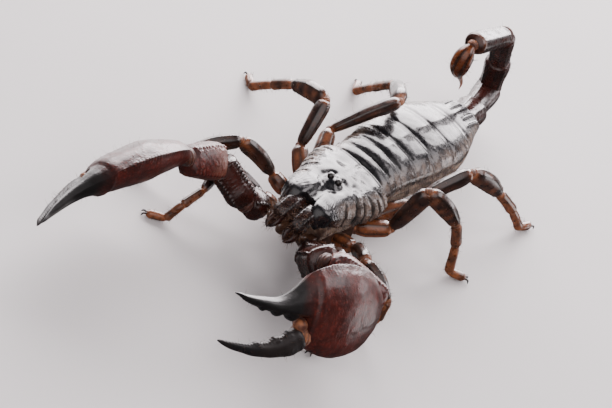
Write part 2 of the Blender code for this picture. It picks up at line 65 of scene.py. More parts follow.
def vec(*values: float) -> np.ndarray:
    """A point or direction as floats."""
    return np.array(values, float)


def unit(v: np.ndarray) -> np.ndarray:
    """v at length one, along its last axis."""
    return v / np.maximum(np.linalg.norm(v, axis=-1, keepdims=True), 1e-12)


def bell(distance: np.ndarray, width: float) -> np.ndarray:
    """One at no distance, falling smoothly to nothing over about two widths."""
    return np.exp(-(distance / width) ** 2)


def turn(count: int) -> np.ndarray:
    """Evenly spaced angles once around, in radians."""
    return np.linspace(0.0, 2.0 * math.pi, count, endpoint=False)


def boxed(wave: np.ndarray, power: float | np.ndarray) -> np.ndarray:
    """A sine or cosine raised to a power with its sign kept, which makes an oval boxier or sharper."""
    return np.sign(wave) * np.abs(wave) ** power


def ramp(values: np.ndarray, low: float, high: float) -> np.ndarray:
    """Smooth step from 0 at low to 1 at high; low may be the larger."""
    t = np.clip((values - low) / (high - low), 0.0, 1.0)
    return t * t * (3.0 - 2.0 * t)


def eased(stations: tuple, places: np.ndarray) -> np.ndarray:
    """Values of a (place, value) outline, with a smooth curve through its stations.

    Args:
        stations: (place, value) pairs in order.
        places: where the values are wanted.

    Returns:
        One value for each place.
    """
    x = np.array([s[0] for s in stations], float)
    v = np.array([s[1] for s in stations], float)
    slope = np.gradient(v, x)
    for k in range(1, len(x) - 1):
        if (v[k] - v[k - 1]) * (v[k + 1] - v[k]) <= 0.0:
            slope[k] = 0.0
    places = np.clip(places, x[0], x[-1])
    k = np.clip(np.searchsorted(x, places) - 1, 0, len(x) - 2)
    step = x[k + 1] - x[k]
    t = (places - x[k]) / step
    return ((2 * t ** 3 - 3 * t ** 2 + 1) * v[k] + (t ** 3 - 2 * t ** 2 + t) * step * slope[k]
            + (3 * t ** 2 - 2 * t ** 3) * v[k + 1] + (t ** 3 - t ** 2) * step * slope[k + 1])


def smooth_path(points: np.ndarray, count: int) -> np.ndarray:
    """Evenly spaced points on a smooth curve through the given ones.

    Args:
        points: what the curve passes through.
        count: how many are wanted.

    Returns:
        One point to a row.
    """
    points = np.asarray(points, float)
    reach = np.concatenate([[0.0], np.cumsum(np.linalg.norm(np.diff(points, axis=0), axis=1))])
    at = np.linspace(0.0, reach[-1], count)
    return np.stack([eased(tuple(zip(reach, points[:, k])), at) for k in range(3)], axis=1)


def waves(points: np.ndarray, size: float, seed: int, count: int = 7) -> np.ndarray:
    """Smooth random swell of about -1 to 1 with features of the given size.

    Args:
        points: where the swell is wanted.
        size: size of its features.
        seed: seed of the random draws.
        count: how many waves are added up.

    Returns:
        The swell at each point.
    """
    rng = np.random.default_rng(seed)
    total = np.zeros(points.shape[:-1])
    for _ in range(count):
        direction = unit(rng.normal(size=3)) * (rng.uniform(0.7, 1.6) * math.pi / size)
        total += np.sin(points @ direction + rng.uniform(0.0, 2.0 * math.pi))
    return total / math.sqrt(count)


# ---- surfaces

class Mask(Enum):
    """Per-point masks that the materials read."""

    KEEL = "keel"      # raised ridges and rims
    GRAIN = "grain"    # small round grains
    TIP = "tip"        # dark, thick ends such as fingertips
    FOLD_PAINTED_SHADE = "fold"      # creases, furrows and slits, darkened as painted shade in the recesses
    WARM_AND_PAINTED_LIGHT = "warm"      # amber tone of thin horn at joints and ends; also a painted pearly sheen on the black plates' flanks and a painted glow on the legs' undersides


@dataclass
class Patch:
    """A grid of points, joined around when it is a tube, with masks for its material.

    place is where a hair is rooted on the unwrapped body; other patches have none.
    """

    points: np.ndarray
    tube: bool = True
    caps: bool = True
    masks: dict = field(default_factory=dict)
    place: tuple = ()

    def normals(self) -> np.ndarray:
        """Unit normals, out of a tube whose rings run counter-clockwise seen from its end.

        Returns:
            One normal for each point.
        """
        along = np.gradient(self.points, axis=0)
        if self.tube:
            around = np.roll(self.points, -1, axis=1) - np.roll(self.points, 1, axis=1)
        else:
            around = np.gradient(self.points, axis=1)
        return unit(np.cross(around, along))

    def mark(self, mask: Mask, amount: np.ndarray) -> None:
        """Strengthen a mask where amount is larger than it already is."""
        old = self.masks.get(mask, np.zeros(self.points.shape[:2]))
        self.masks[mask] = np.maximum(old, np.clip(amount, 0.0, 1.0))

    def lift(self, height: np.ndarray) -> None:
        """Move every point out along its normal."""
        self.points = self.points + self.normals() * height[..., None]

    def grains(self, centres: np.ndarray, sizes: np.ndarray, height: float) -> None:
        """Raise a small round grain at each centre.

        Args:
            centres: places of the grains, near the surface.
            sizes: radius of each.
            height: height of a grain as a share of its radius.
        """
        flat = self.points.reshape(-1, 3)
        rise = np.zeros(len(flat))
        for centre, size in zip(centres, sizes):
            near = np.flatnonzero(np.abs(flat[:, 2] - centre[2]) < size)
            gap = np.linalg.norm(flat[near] - centre, axis=1) / size
            dome = np.sqrt(np.clip(1.0 - gap ** 2, 0.0, 1.0)) * size * height
            rise[near] = np.maximum(rise[near], dome)
        rise = rise.reshape(self.points.shape[:2])
        self.lift(rise)
        self.mark(Mask.GRAIN, rise / (height * float(np.mean(sizes)) + 1e-9))

    def pebble(self, count: int, weight: np.ndarray | None, seeds: tuple, sizes: tuple,
               height: float) -> None:
        """Scatter round grains over the surface.

        Args:
            count: how many grains.
            weight: how often they fall at each point, or None for evenly.
            seeds: of their places and of their sizes.
            sizes: least and greatest radius.
            height: height of a grain as a share of its radius.
        """
        weight = np.ones(self.points.shape[:2]) if weight is None else weight
        centres = self.scatter(count, weight, seeds[0])
        self.grains(centres, np.random.default_rng(seeds[1]).uniform(*sizes, count), height)

    def scatter(self, count: int, weight: np.ndarray, seed: int) -> np.ndarray:
        """Random places on the surface, more often where weight is high.

        Args:
            count: how many places.
            weight: how often they fall at each point.
            seed: seed of the random draws.

        Returns:
            The places, one to a row.
        """
        rng = np.random.default_rng(seed)
        inner = self.points[:-1, :-1] if not self.tube else self.points[:-1]
        area = self._areas() * np.clip(weight[:inner.shape[0], :inner.shape[1]], 0.0, None)
        chance = area.ravel() / area.sum()
        picks = rng.choice(len(chance), size=count, p=chance)
        rows, cols = np.unravel_index(picks, area.shape)
        a, b = rng.random((2, count, 1))
        right = (cols + 1) % self.points.shape[1]
        p = self.points
        low = p[rows, cols] * (1 - b) + p[rows, right] * b
        high = p[rows + 1, cols] * (1 - b) + p[rows + 1, right] * b
        return low * (1 - a) + high * a

    def corners(self, size: float) -> np.ndarray:
        """Map coordinates of all face corners of a capped tube, in a small square at its place.

        Args:
            size: side of the square.

        Returns:
            Two coordinates for each face corner.
        """
        rows, cols = self.points.shape[:2]
        grid = np.stack(np.meshgrid(np.linspace(0.0, 1.0, cols + 1), np.linspace(0.1, 0.9, rows)), axis=-1)
        quads = np.stack([grid[:-1, :-1], grid[:-1, 1:], grid[1:, 1:], grid[1:, :-1]], axis=-2)
        angle = np.arange(cols) * 2.0 * math.pi / cols
        ring = np.stack([0.5 + 0.5 * np.cos(angle), 0.05 * np.sin(angle)], axis=-1)
        flat = np.concatenate([quads.reshape(-1, 2), ring + vec(0.0, 0.05), ring + vec(0.0, 0.95)])
        return np.array(self.place) + (flat - 0.5) * size

    def _areas(self) -> np.ndarray:
        """Area of each cell of the grid.

        Returns:
            One area for each cell.
        """
        p = self.points
        right = np.roll(p, -1, axis=1) if self.tube else p[:, 1:]
        left = p if self.tube else p[:, :-1]
        return np.linalg.norm(np.cross(right[:-1] - left[:-1], left[1:] - left[:-1]), axis=-1)


@dataclass
class Keel:
    """A raised ridge along a limb.

    angle is its place around the limb in degrees, height and width are millimetres, bead is the
    spacing of the grains that it breaks into (0 for a smooth ridge), start and end are shares of
    the limb's length, and tooth is how far the grains stand up.
    """

    angle: float
    height: float = 0.25
    width: float = 0.3
    bead: float = 0.0
    start: float = 0.04
    end: float = 0.96
    tooth: float = 1.0


@dataclass
class Sleeve:
    """A horn tube along a path: the shape of most limb segments.

    Attributes:
        path: centre line.
        side: direction that angle 0 faces, before it is squared to the path.
        half_side: (share, half size along side) stations.
        half_up: (share, half size across it) stations.
        square: 2 for an oval section and more for a boxier one.
        keels: ridges on it.
        rows, cols: points along and around.
        swell: height of its natural unevenness.
        seed: seed of that unevenness.
    """

    path: np.ndarray
    side: np.ndarray
    half_side: tuple
    half_up: tuple
    square: float = 2.2
    keels: tuple = ()
    rows: int = 70
    cols: int = 56
    swell: float = 0.05
    seed: int = 1

    def patch(self) -> Patch:
        """Build the surface, with rounded ends, keels and a slight natural swell.

        Returns:
            The surface.
        """
        share = 0.5 - 0.5 * np.cos(np.linspace(0.0, math.pi, self.rows))
        share = 0.6 * share + 0.4 * np.linspace(0.0, 1.0, self.rows)
        centre = smooth_path(self.path, 200)
        at = np.linspace(0.0, 1.0, 200)
        line = np.stack([np.interp(share, at, centre[:, k]) for k in range(3)], axis=1)
        aim = unit(np.gradient(line, axis=0))
        side = unit(self.side - aim * (aim @ self.side)[:, None])
        up = np.cross(aim, side)
        angle, power = turn(self.cols), 2.0 / self.square
        cos, sin = boxed(np.cos(angle), power), boxed(np.sin(angle), power)
        wide = eased(self.half_side, share)
        tall = eased(self.half_up, share)
        points = (line[:, None] + side[:, None] * (wide[:, None] * cos)[..., None]
                  + up[:, None] * (tall[:, None] * sin)[..., None])
        made = Patch(points)
        length = float(np.sum(np.linalg.norm(np.diff(line, axis=0), axis=1)))
        radius = 0.5 * (wide + tall)
        lift = np.zeros(points.shape[:2])
        for keel in self.keels:
            lift += self._ridge(made, keel, share, angle, radius, length)
        made.lift(lift + self.swell * waves(points, 3.0, self.seed))
        return made

    def _ridge(self, made: Patch, keel: Keel, share: np.ndarray, angle: np.ndarray,
               radius: np.ndarray, length: float) -> np.ndarray:
        """Height of one keel over the whole surface.

        Args:
            made: the tube, which gets the masks.
            keel: the ridge.
            share: place of each ring along the limb.
            angle: direction of each point.
            radius: mean half size of each ring.
            length: length of the limb.

        Returns:
            Height at each point.
        """
        away = np.angle(np.exp(1j * (angle - math.radians(keel.angle))))
        distance = away[None, :] * radius[:, None]
        along = ramp(share, keel.start, keel.start + 0.06) * ramp(share, keel.end, keel.end - 0.06)
        ridge = bell(distance, keel.width)
        beads = np.ones_like(share)
        if keel.bead:
            phase = share * length / keel.bead
            phase = phase + 0.18 * np.sin(phase * 1.7 + self.seed)
            beads = 0.35 + 0.9 * keel.tooth * np.abs(np.sin(math.pi * phase)) ** 1.5
            made.mark(Mask.GRAIN, ridge * (along * (beads - 0.35))[:, None])
        made.mark(Mask.KEEL, ridge * along[:, None])
        return ridge * (along * beads * keel.height)[:, None]


# ---- finishes

class Nodes:
    """Short way to write a material's node tree."""

    def __init__(self, name: str) -> None:
        """Start a material.

        Args:
            name: the material's name.
        """
        self.material = bpy.data.materials.new(name)
        self.material.use_nodes = True
        self.tree = self.material.node_tree
        self.shader = self.tree.nodes["Principled BSDF"]

    def add(self, kind: str, inputs: dict | None = None, **settings: str) -> bpy.types.Node:
        """Add one node.

        Args:
            kind: the node's type.
            inputs: values or sockets, by the input's name or number.
            settings: the node's own settings.

        Returns:
            The node.
        """
        node = self.tree.nodes.new(kind)
        for key, value in settings.items():
            setattr(node, key, value)
        for key, value in (inputs or {}).items():
            self.plug(node, key, value)
        return node

    def plug(self, node: bpy.types.Node, key: str | int, value: Value) -> None:
        """Set a socket's value, or link another socket to it."""
        if isinstance(value, bpy.types.NodeSocket):
            self.tree.links.new(value, node.inputs[key])
        else:
            node.inputs[key].default_value = value

    def shade(self, inputs: dict) -> bpy.types.Material:
        """Set the surface shader's inputs and hand over the material."""
        for key, value in inputs.items():
            self.plug(self.shader, key, value)
        return self.material

    def times(self, a: Value, b: Value) -> Socket:
        """The product of two values."""
        return self.add("ShaderNodeMath", {0: a, 1: b}, operation="MULTIPLY").outputs[0]

    def spread(self, value: Value, low: float, high: float, to_low: float = 0.0,
               to_high: float = 1.0) -> Socket:
        """Map one range of values smoothly onto another.

        Args:
            value: what is mapped.
            low: where to_low is reached.
            high: where to_high is reached.
            to_low: result at low.
            to_high: result at high.

        Returns:
            The mapped value.
        """
        node = self.add("ShaderNodeMapRange", {"Value": value, "From Min": low, "From Max": high,
                                               "To Min": to_low, "To Max": to_high})
        node.interpolation_type = "SMOOTHSTEP"
        return node.outputs[0]

    def mix(self, amount: Value, a: Value, b: Value) -> Socket:
        """Blend two colours.

        Args:
            amount: 0 for a and 1 for b.
            a: first colour.
            b: second colour.

        Returns:
            The colour.
        """
        node = self.add("ShaderNodeMix", data_type="RGBA")
        for key, value in ((0, amount), (6, a), (7, b)):
            if isinstance(value, tuple):
                value = (*value, 1.0)[:4]
            self.plug(node, key, value)
        return node.outputs[2]

    def mask(self, mask: Mask) -> Socket:
        """A per-point mask of the mesh."""
        return self.add("ShaderNodeAttribute", attribute_name=mask.value).outputs["Fac"]

    def noise(self, scale: float, detail: float = 3.0) -> Socket:
        """Cloudy noise.

        Args:
            scale: features to the millimetre.
            detail: how many finer layers it has.

        Returns:
            The noise.
        """
        place = self.add("ShaderNodeTexCoord").outputs["Object"]
        node = self.add("ShaderNodeTexNoise",
                        {"Vector": place, "Scale": scale * 1000.0, "Detail": detail})
        return node.outputs[0]

    def cells(self, scale: float) -> Socket:
        """Distance to the nearest of many random points.

        Args:
            scale: points to the millimetre.

        Returns:
            The distance.
        """
        place = self.add("ShaderNodeTexCoord").outputs["Object"]
        node = self.add("ShaderNodeTexVoronoi", {"Vector": place, "Scale": scale * 1000.0})
        return node.outputs["Distance"]

    def bump(self, height: Value, distance: float, strength: float = 1.0,
             below: Socket | None = None) -> Socket:
        """A bump.

        Args:
            height: its pattern, from 0 to 1.
            distance: its depth in millimetres.
            strength: how much of it is used.
            below: normal of a bump under it.

        Returns:
            The normal.
        """
        inputs = {"Height": height, "Distance": distance * MM, "Strength": strength}
        if below is not None:
            inputs["Normal"] = below
        return self.add("ShaderNodeBump", inputs).outputs[0]


@dataclass(frozen=True)
class Horn:
    """Glossy horn: deep colour in clouds, warm thin places, painted sheen and glow, painted shade in folds,
    dark ridges, grains and fine pits.
    """

    name: str
    deep: tuple
    cloud: tuple
    ridge: tuple
    grain: tuple
    warm: tuple = (0.30, 0.11, 0.03)
    tip: tuple = (0.006, 0.005, 0.005)
    roughness: float = 0.2
    rough_spread: float = 0.12
    pit: float = 0.012
    pit_scale: float = 5.0
    coat: float = 0.5
    cloud_scale: float = 0.25
    glow: float = 0.0
    ior: float = 1.5
    coat_rough: float = 0.08
    mottle: float = 0.0

    def build(self) -> bpy.types.Material:
        """Make the material.

        Returns:
            The material.
        """
        n = Nodes(self.name)
        clouds = n.spread(n.noise(self.cloud_scale, 4.0), 0.36, 0.64)
        speck = n.spread(n.noise(2.6, 3.0), 0.35, 0.7)
        colour = n.mix(clouds, self.deep, self.cloud)
        if self.mottle:
            dots = n.spread(n.cells(1.5), 0.22, 0.50, self.mottle, 0.0)
            colour = n.mix(dots, colour, self.grain)
            gaps = n.spread(n.noise(0.55, 5.0), 0.42, 0.58, 0.0, 0.75 * self.mottle)
            colour = n.mix(gaps, colour, self.ridge)
        # Warm colour where the warm mask is: amber of thin horn, and painted sheen or painted glow where the
        # pieces mark it so.
        patchy = n.times(n.mask(Mask.WARM_AND_PAINTED_LIGHT), n.spread(clouds, -0.4, 0.6))
        colour = n.mix(patchy, colour, self.warm)
        colour = n.mix(n.times(speck, 0.4), colour, self.deep)
        # Painted shade: folds, furrows and slits darkened to the tip colour.
        colour = n.mix(n.times(n.mask(Mask.FOLD_PAINTED_SHADE), 0.8), colour, self.tip)
        colour = n.mix(n.times(n.mask(Mask.KEEL), 0.85), colour, self.ridge)
        colour = n.mix(n.times(n.mask(Mask.GRAIN), 0.7), colour, self.grain)
        colour = n.mix(n.mask(Mask.TIP), colour, self.tip)
        rough = n.spread(n.noise(0.9, 4.0), 0.3, 0.7, self.roughness, self.roughness + self.rough_spread)
        pits = n.spread(n.cells(self.pit_scale), 0.0, 0.55)
        swell = n.bump(n.noise(0.5, 2.0), 0.04, 0.4)
        fine = n.bump(n.noise(9.0, 2.0), 0.005, 0.7, swell)
        normal = n.bump(pits, self.pit, 0.7, fine)
        inputs = {"Base Color": colour, "Roughness": rough, "Normal": normal, "Coat Weight": self.coat,
                  "Coat Roughness": self.coat_rough, "IOR": self.ior}
        if self.glow:
            inputs |= {"Subsurface Weight": self.glow, "Subsurface Radius": (0.0016, 0.0006, 0.0003),
                       "Subsurface Scale": 0.6}
        return n.shade(inputs)


@dataclass(frozen=True)
class SoftSkin:
    """The folded skin between plates and in the joints."""

    name: str
    pale: tuple
    dark: tuple
    roughness: float = 0.42

    def build(self) -> bpy.types.Material:
        """Make the material.

        Returns:
            The material.
        """
        n = Nodes(self.name)
        cloud = n.spread(n.noise(0.6, 4.0), 0.35, 0.65)
        colour = n.mix(cloud, self.pale, self.dark)
        # Painted shade: the recessed folds are darkened.
        colour = n.mix(n.times(n.mask(Mask.FOLD_PAINTED_SHADE), 0.75), colour, self.dark)
        wrinkle = n.bump(n.noise(3.0, 4.0), 0.05, 0.8)
        rough = n.spread(n.noise(1.5, 3.0), 0.3, 0.7, self.roughness - 0.1, self.roughness + 0.15)
        return n.shade({"Base Color": colour, "Roughness": rough,
                        "Normal": n.bump(n.noise(12.0, 2.0), 0.01, 0.8, wrinkle),
                        "Subsurface Weight": 0.25, "Subsurface Radius": (0.0018, 0.0009, 0.0005),
                        "Subsurface Scale": 0.5, "Sheen Weight": 0.08})


@dataclass(frozen=True)
class Bristle:
    """Stiff hairs, dark at the root and amber towards the point."""

    name: str
    root: tuple
    point: tuple

    def build(self) -> bpy.types.Material:
        """Make the material.

        Returns:
            The material.
        """
        n = Nodes(self.name)
        colour = n.mix(n.mask(Mask.TIP), self.root, self.point)
        colour = n.mix(n.times(n.noise(1.2, 2.0), 0.4), colour, self.root)
        return n.shade({"Base Color": colour, "Roughness": 0.38,
                        "Normal": n.bump(n.noise(20.0, 1.0), 0.004, 0.5)})


@dataclass(frozen=True)
class EyeGloss:
    """The wet black bead of an eye."""

    name: str = "eye_gloss"

    def build(self) -> bpy.types.Material:
        """Make the material.

        Returns:
            The material.
        """
        n = Nodes(self.name)
        depth = n.spread(n.noise(1.6, 2.0), 0.3, 0.7)
        colour = n.mix(depth, (0.003, 0.003, 0.004), (0.012, 0.008, 0.006))
        rough = n.spread(n.noise(3.0, 2.0), 0.3, 0.7, 0.03, 0.07)
        return n.shade({"Base Color": colour, "Roughness": rough, "Coat Weight": 1.0,
                        "Coat Roughness": 0.02, "IOR": 1.5,
                        "Normal": n.bump(n.noise(2.0, 1.0), 0.01, 0.2)})


@dataclass(frozen=True)
class Floor:
    """The plain pale floor."""

    name: str = "pale_floor"

    def build(self) -> bpy.types.Material:
        """Make the material.

        Returns:
            The material.
        """
        n = Nodes(self.name)
        cloud = n.noise(0.02, 3.0)
        colour = n.mix(cloud, (0.60, 0.575, 0.57), (0.66, 0.635, 0.63))
        return n.shade({"Base Color": colour, "Roughness": 0.6,
                        "Normal": n.bump(n.noise(0.8, 4.0), 0.02, 0.2)})


Finish = Horn | SoftSkin | Bristle | EyeGloss | Floor


class Palette:
    """All finishes, each built once."""

    # The black horn's warm colour is a painted pearly sheen, used on the flanks of the head shield and the
    # back plates.
    BLACK = Horn("black_horn", (0.005, 0.005, 0.007), (0.010, 0.009, 0.010), (0.004, 0.004, 0.005),
                 (0.010, 0.009, 0.010), warm=(0.24, 0.175, 0.14), roughness=0.19, coat=0.6, coat_rough=0.10)
    FINGER = Horn("finger_horn", (0.006, 0.005, 0.006), (0.014, 0.009, 0.008), (0.004, 0.004, 0.004),
                  (0.016, 0.010, 0.008), roughness=0.42, coat=0.12, coat_rough=0.25, pit=0.02)
    BROWN = Horn("brown_horn", (0.018, 0.0040, 0.0026), (0.044, 0.0085, 0.0052), (0.007, 0.004, 0.004),
                 (0.022, 0.010, 0.008), warm=(0.16, 0.055, 0.022), roughness=0.22)
    RED = Horn("red_horn", (0.040, 0.0042, 0.0023), (0.078, 0.0085, 0.0044), (0.012, 0.004, 0.003),
               (0.145, 0.019, 0.011), warm=(0.17, 0.065, 0.045), roughness=0.34, rough_spread=0.12,
               coat=0.5, coat_rough=0.22, pit=0.03, pit_scale=2.4, mottle=0.55)
    AMBER = Horn("amber_horn", (0.015, 0.0056, 0.0042), (0.044, 0.0145, 0.0085), (0.007, 0.004, 0.003),
                 (0.025, 0.011, 0.007), warm=(0.27, 0.083, 0.026), roughness=0.26, rough_spread=0.10,
                 pit=0.006, coat=0.8, glow=0.06, cloud_scale=0.45, ior=1.6, coat_rough=0.10)
    STING = Horn("sting_horn", (0.060, 0.013, 0.004), (0.18, 0.045, 0.009), (0.012, 0.005, 0.004),
                 (0.10, 0.04, 0.02), warm=(0.42, 0.22, 0.15), tip=(0.26, 0.13, 0.10), roughness=0.2,
                 glow=0.1)
    UNDER = Horn("under_horn", (0.035, 0.014, 0.008), (0.080, 0.034, 0.018), (0.02, 0.009, 0.006),
                 (0.07, 0.035, 0.022), warm=(0.22, 0.09, 0.035), roughness=0.28)
    SKIN = SoftSkin("flank_skin", (0.30, 0.215, 0.155), (0.050, 0.026, 0.018))
    JOINT = SoftSkin("joint_skin", (0.34, 0.13, 0.055), (0.075, 0.026, 0.015))
    ELBOW = SoftSkin("elbow_skin", (0.085, 0.026, 0.014), (0.028, 0.009, 0.006))
    HAIR = Bristle("bristle", (0.03, 0.012, 0.008), (0.24, 0.11, 0.05))
    EYE = EyeGloss()
    FLOOR = Floor()

    def __init__(self) -> None:
        """Start with nothing built."""
        self._made = {}

    def get(self, finish: Finish) -> bpy.types.Material:
        """The material of a finish."""
        if finish.name not in self._made:
            self._made[finish.name] = finish.build()
        return self._made[finish.name]


# ---- pieces

class Workshop:
    """Turns patches into the scene's pieces and keeps the hairs until the end."""

    def __init__(self) -> None:
        """Start with no hairs and no skin."""
        self.palette = Palette()
        self.hairs = []
        self.charts = 0
        self.skins = {Palette.SKIN.name: [], Palette.JOINT.name: [], Palette.ELBOW.name: []}

    def piece(self, name: str, patches: list, finish: Finish,
              nodes: tuple = ()) -> bpy.types.Object:
        """Join patches into one piece that rides on the root body.

        Args:
            name: the piece's name.
            patches: the surfaces that it is made of.
            finish: its material.
            nodes: the CAD nodes that it stands for.

        Returns:
            The new object.
        """
        verts, faces, masks, start = [], [], {mask: [] for mask in Mask}, 0
        for patch in patches:
            rows, cols = patch.points.shape[:2]
            index = np.arange(rows * cols).reshape(rows, cols) + start
            right = np.roll(index, -1, axis=1) if patch.tube else index[:, 1:]
            left = index if patch.tube else index[:, :-1]
            quads = np.stack([left[:-1], right[:-1], right[1:], left[1:]], axis=-1).reshape(-1, 4)
            faces.extend(quads.tolist())
            if patch.tube and patch.caps:
                faces.append(index[0, ::-1].tolist())
                faces.append(index[-1].tolist())
            verts.append(patch.points.reshape(-1, 3))
            for mask in Mask:
                masks[mask].append(patch.masks.get(mask, np.zeros((rows, cols))).ravel())
            start += rows * cols
        places = np.concatenate(verts)
        places[:, 2] = np.maximum(places[:, 2], 0.0)
        mesh = bpy.data.meshes.new(name)
        mesh.from_pydata(((places - MIDDLE) * MM).tolist(), [], faces)
        for mask in Mask:
            layer = mesh.attributes.new(mask.value, "FLOAT", "POINT")
            layer.data.foreach_set("value", np.concatenate(masks[mask]).astype(np.float32))
        if patches[0].place:
            spots = np.concatenate([patch.corners(TUFT) for patch in patches]).astype(np.float32)
            mesh.uv_layers.new(name="OFBake").data.foreach_set("uv", spots.ravel())
        mesh.shade_smooth()
        mesh.materials.append(self.palette.get(finish))
        made = bpy.data.objects.new(name, mesh)
        bpy.context.scene.collection.objects.link(made)
        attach(made, "root")
        if nodes:
            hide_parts(*nodes)
        log.info("%s: %d faces", name, len(faces))
        return made

    def joint(self, centre: np.ndarray, aim: np.ndarray, radius: float, length: float,
              finish: SoftSkin = Palette.JOINT) -> None:
        """Add a folded sock of soft skin around a joint.

        Args:
            centre: middle of the joint.
            aim: way that the limb runs.
            radius: half its thickness.
            length: how far it reaches along.
            finish: which skin.
        """
        rows, cols = 22, 30
        t = np.linspace(-1.0, 1.0, rows)
        aim = unit(aim)
        side = unit(np.cross(aim, UP) + 1e-6)
        up = np.cross(aim, side)
        angle = turn(cols)
        folds = 0.03 * radius * np.cos(t * math.pi * 4.0)
        size = radius * (1.0 - 0.35 * np.abs(t) ** 2.5) + folds
        ring = side * np.cos(angle)[:, None] + up * np.sin(angle)[:, None]
        points = centre + aim * (t * 0.5 * length)[:, None, None] + ring[None] * size[:, None, None]
        sock = Patch(points)
        # Painted shade in the recessed fold rings.
        sock.mark(Mask.FOLD_PAINTED_SHADE, np.repeat(ramp(-folds, 0.0, 0.025 * radius)[:, None], cols, axis=1))
        self.skins[finish.name].append(sock)

    def bristles(self, roots: np.ndarray, ways: np.ndarray, lengths: np.ndarray, places: list,
                 thickness: float, seed: int, bend: float = 0.25) -> None:
        """Add curved hairs, each a thin three-sided cone with its root sunk in the horn.

        Args:
            roots: where they stand.
            ways: where they point.
            lengths: how long each is.
            places: their places on the map.
            thickness: half thickness at the root.
            seed: seed of the random draws.
            bend: sideways bend as a share of length.
        """
        rng = np.random.default_rng(seed)
        for root, way, length, place in zip(roots, ways, lengths, places):
            lean = unit(np.cross(way, rng.normal(size=3)))
            steps = np.linspace(0.0, 1.0, 5)[:, None]
            line = root + way * (steps * length - 0.08) + lean * (steps ** 2 * bend * length)
            aim = unit(np.gradient(line, axis=0))
            side = unit(np.cross(aim, lean + 1e-6))
            up = np.cross(aim, side)
            angle = np.arange(3) * 2.0 * math.pi / 3.0
            size = thickness * (1.0 - 0.9 * steps)
            ring = side[:, None] * np.cos(angle)[:, None] + up[:, None] * np.sin(angle)[:, None]
            hair = Patch(line[:, None] + ring * size[:, None], place=place)
            hair.mark(Mask.TIP, np.repeat(steps, 3, axis=1))
            self.hairs.append(hair)

    def fuzz(self, patch: Patch, count: int, length: float, seed: int,
             weight: np.ndarray | None = None, thickness: float = 0.035,
             lean: np.ndarray | None = None) -> None:
        """Scatter hairs over a patch, standing off its surface.

        Args:
            patch: the surface that they stand on.
            count: how many.
            length: usual length.
            seed: seed of the random draws.
            weight: how often they fall at each point, or None for evenly.
            thickness: half thickness at the root.
            lean: a way that all of them lean.
        """
        rng = np.random.default_rng(seed)
        weight = np.ones(patch.points.shape[:2]) if weight is None else weight
        roots = patch.scatter(count, weight, seed)
        flat, normals = patch.points.reshape(-1, 3), patch.normals().reshape(-1, 3)
        nearest = [int(np.argmin(np.sum((flat - root) ** 2, axis=1))) for root in roots]
        ways = normals[nearest] + rng.normal(size=(count, 3)) * 0.25
        if lean is not None:
            ways = ways + lean
        rows, cols = patch.points.shape[:2]
        down, left = divmod(self.charts, CHARTS)
        self.charts += 1
        margin, inside = 0.06, 0.88
        places = [((left + margin + inside * (k % cols) / cols) / CHARTS,
                   (down + margin + inside * (k // cols) / rows) / CHARTS) for k in nearest]
        self.bristles(roots, unit(ways), length * rng.uniform(0.5, 1.25, count), places, thickness, seed)

    def finish_soft(self) -> None:
        """Make the pieces that are shared by the whole animal: joint skin, flank skin and hairs."""
        self.piece("joint_skin", self.skins[Palette.JOINT.name], Palette.JOINT)
        self.piece("elbow_skin", self.skins[Palette.ELBOW.name], Palette.ELBOW)
        self.piece("flank_skin", self.skins[Palette.SKIN.name], Palette.SKIN)
        self.piece("bristles", self.hairs, Palette.HAIR)


# ---- trunk

@dataclass
class Trunk:
    """Outline of the whole trunk, shared by its plates and its skin."""

    carapace_width: tuple = ((-33.2, 5.0), (-31.0, 5.6), (-28.0, 6.1), (-23.0, 7.2), (-18.0, 8.5),
                             (-15.0, 8.9), (-13.0, 8.5))
    carapace_crest: tuple = ((-33.2, 14.7), (-24.0, 15.0), (-13.0, 13.9))
    carapace_seat: tuple = ((-33.2, 11.5), (-30.0, 11.3), (-27.0, 9.9), (-24.0, 9.1), (-13.0, 8.8))
    carapace_square: tuple = ((-33.2, 4.2), (-24.0, 3.0), (-13.0, 2.3))
    back_width: tuple = ((-14.0, 7.2), (-8.0, 7.4), (0.0, 8.4), (7.0, 9.0), (13.0, 8.9),
                         (19.0, 7.3), (23.0, 5.7), (27.0, 4.3))
    back_crest: tuple = ((-14.0, 13.6), (-4.0, 14.4), (7.0, 14.4), (15.0, 13.5), (22.0, 12.4),
                         (27.0, 11.4))
    back_seat: tuple = ((-14.0, 8.8), (8.0, 8.6), (27.0, 7.4))
    back_edges: tuple = (-13.0, -10.0, -6.6, -2.2, 3.4, 9.8, 17.2, 27.0)
    bend: tuple = ((-33.2, 0.0), (-8.0, 0.0), (8.0, 0.7), (18.0, 1.5), (27.0, 1.7))
    belly_width: tuple = ((-34.0, 3.6), (-28.0, 4.8), (-20.0, 5.8), (-13.0, 5.8), (-8.0, 5.9),
                          (-3.0, 7.4), (5.0, 8.2), (13.0, 8.1), (20.0, 6.4), (27.0, 3.9))
    belly_depth: tuple = ((-34.0, 4.4), (-20.0, 3.7), (-13.0, 3.7), (0.0, 3.3), (14.0, 3.7),
                          (27.0, 5.2))
    rim: float = 0.9

    def middle(self, y: np.ndarray) -> np.ndarray:
        """Sideways place of the centre line."""
        return eased(self.bend, y)


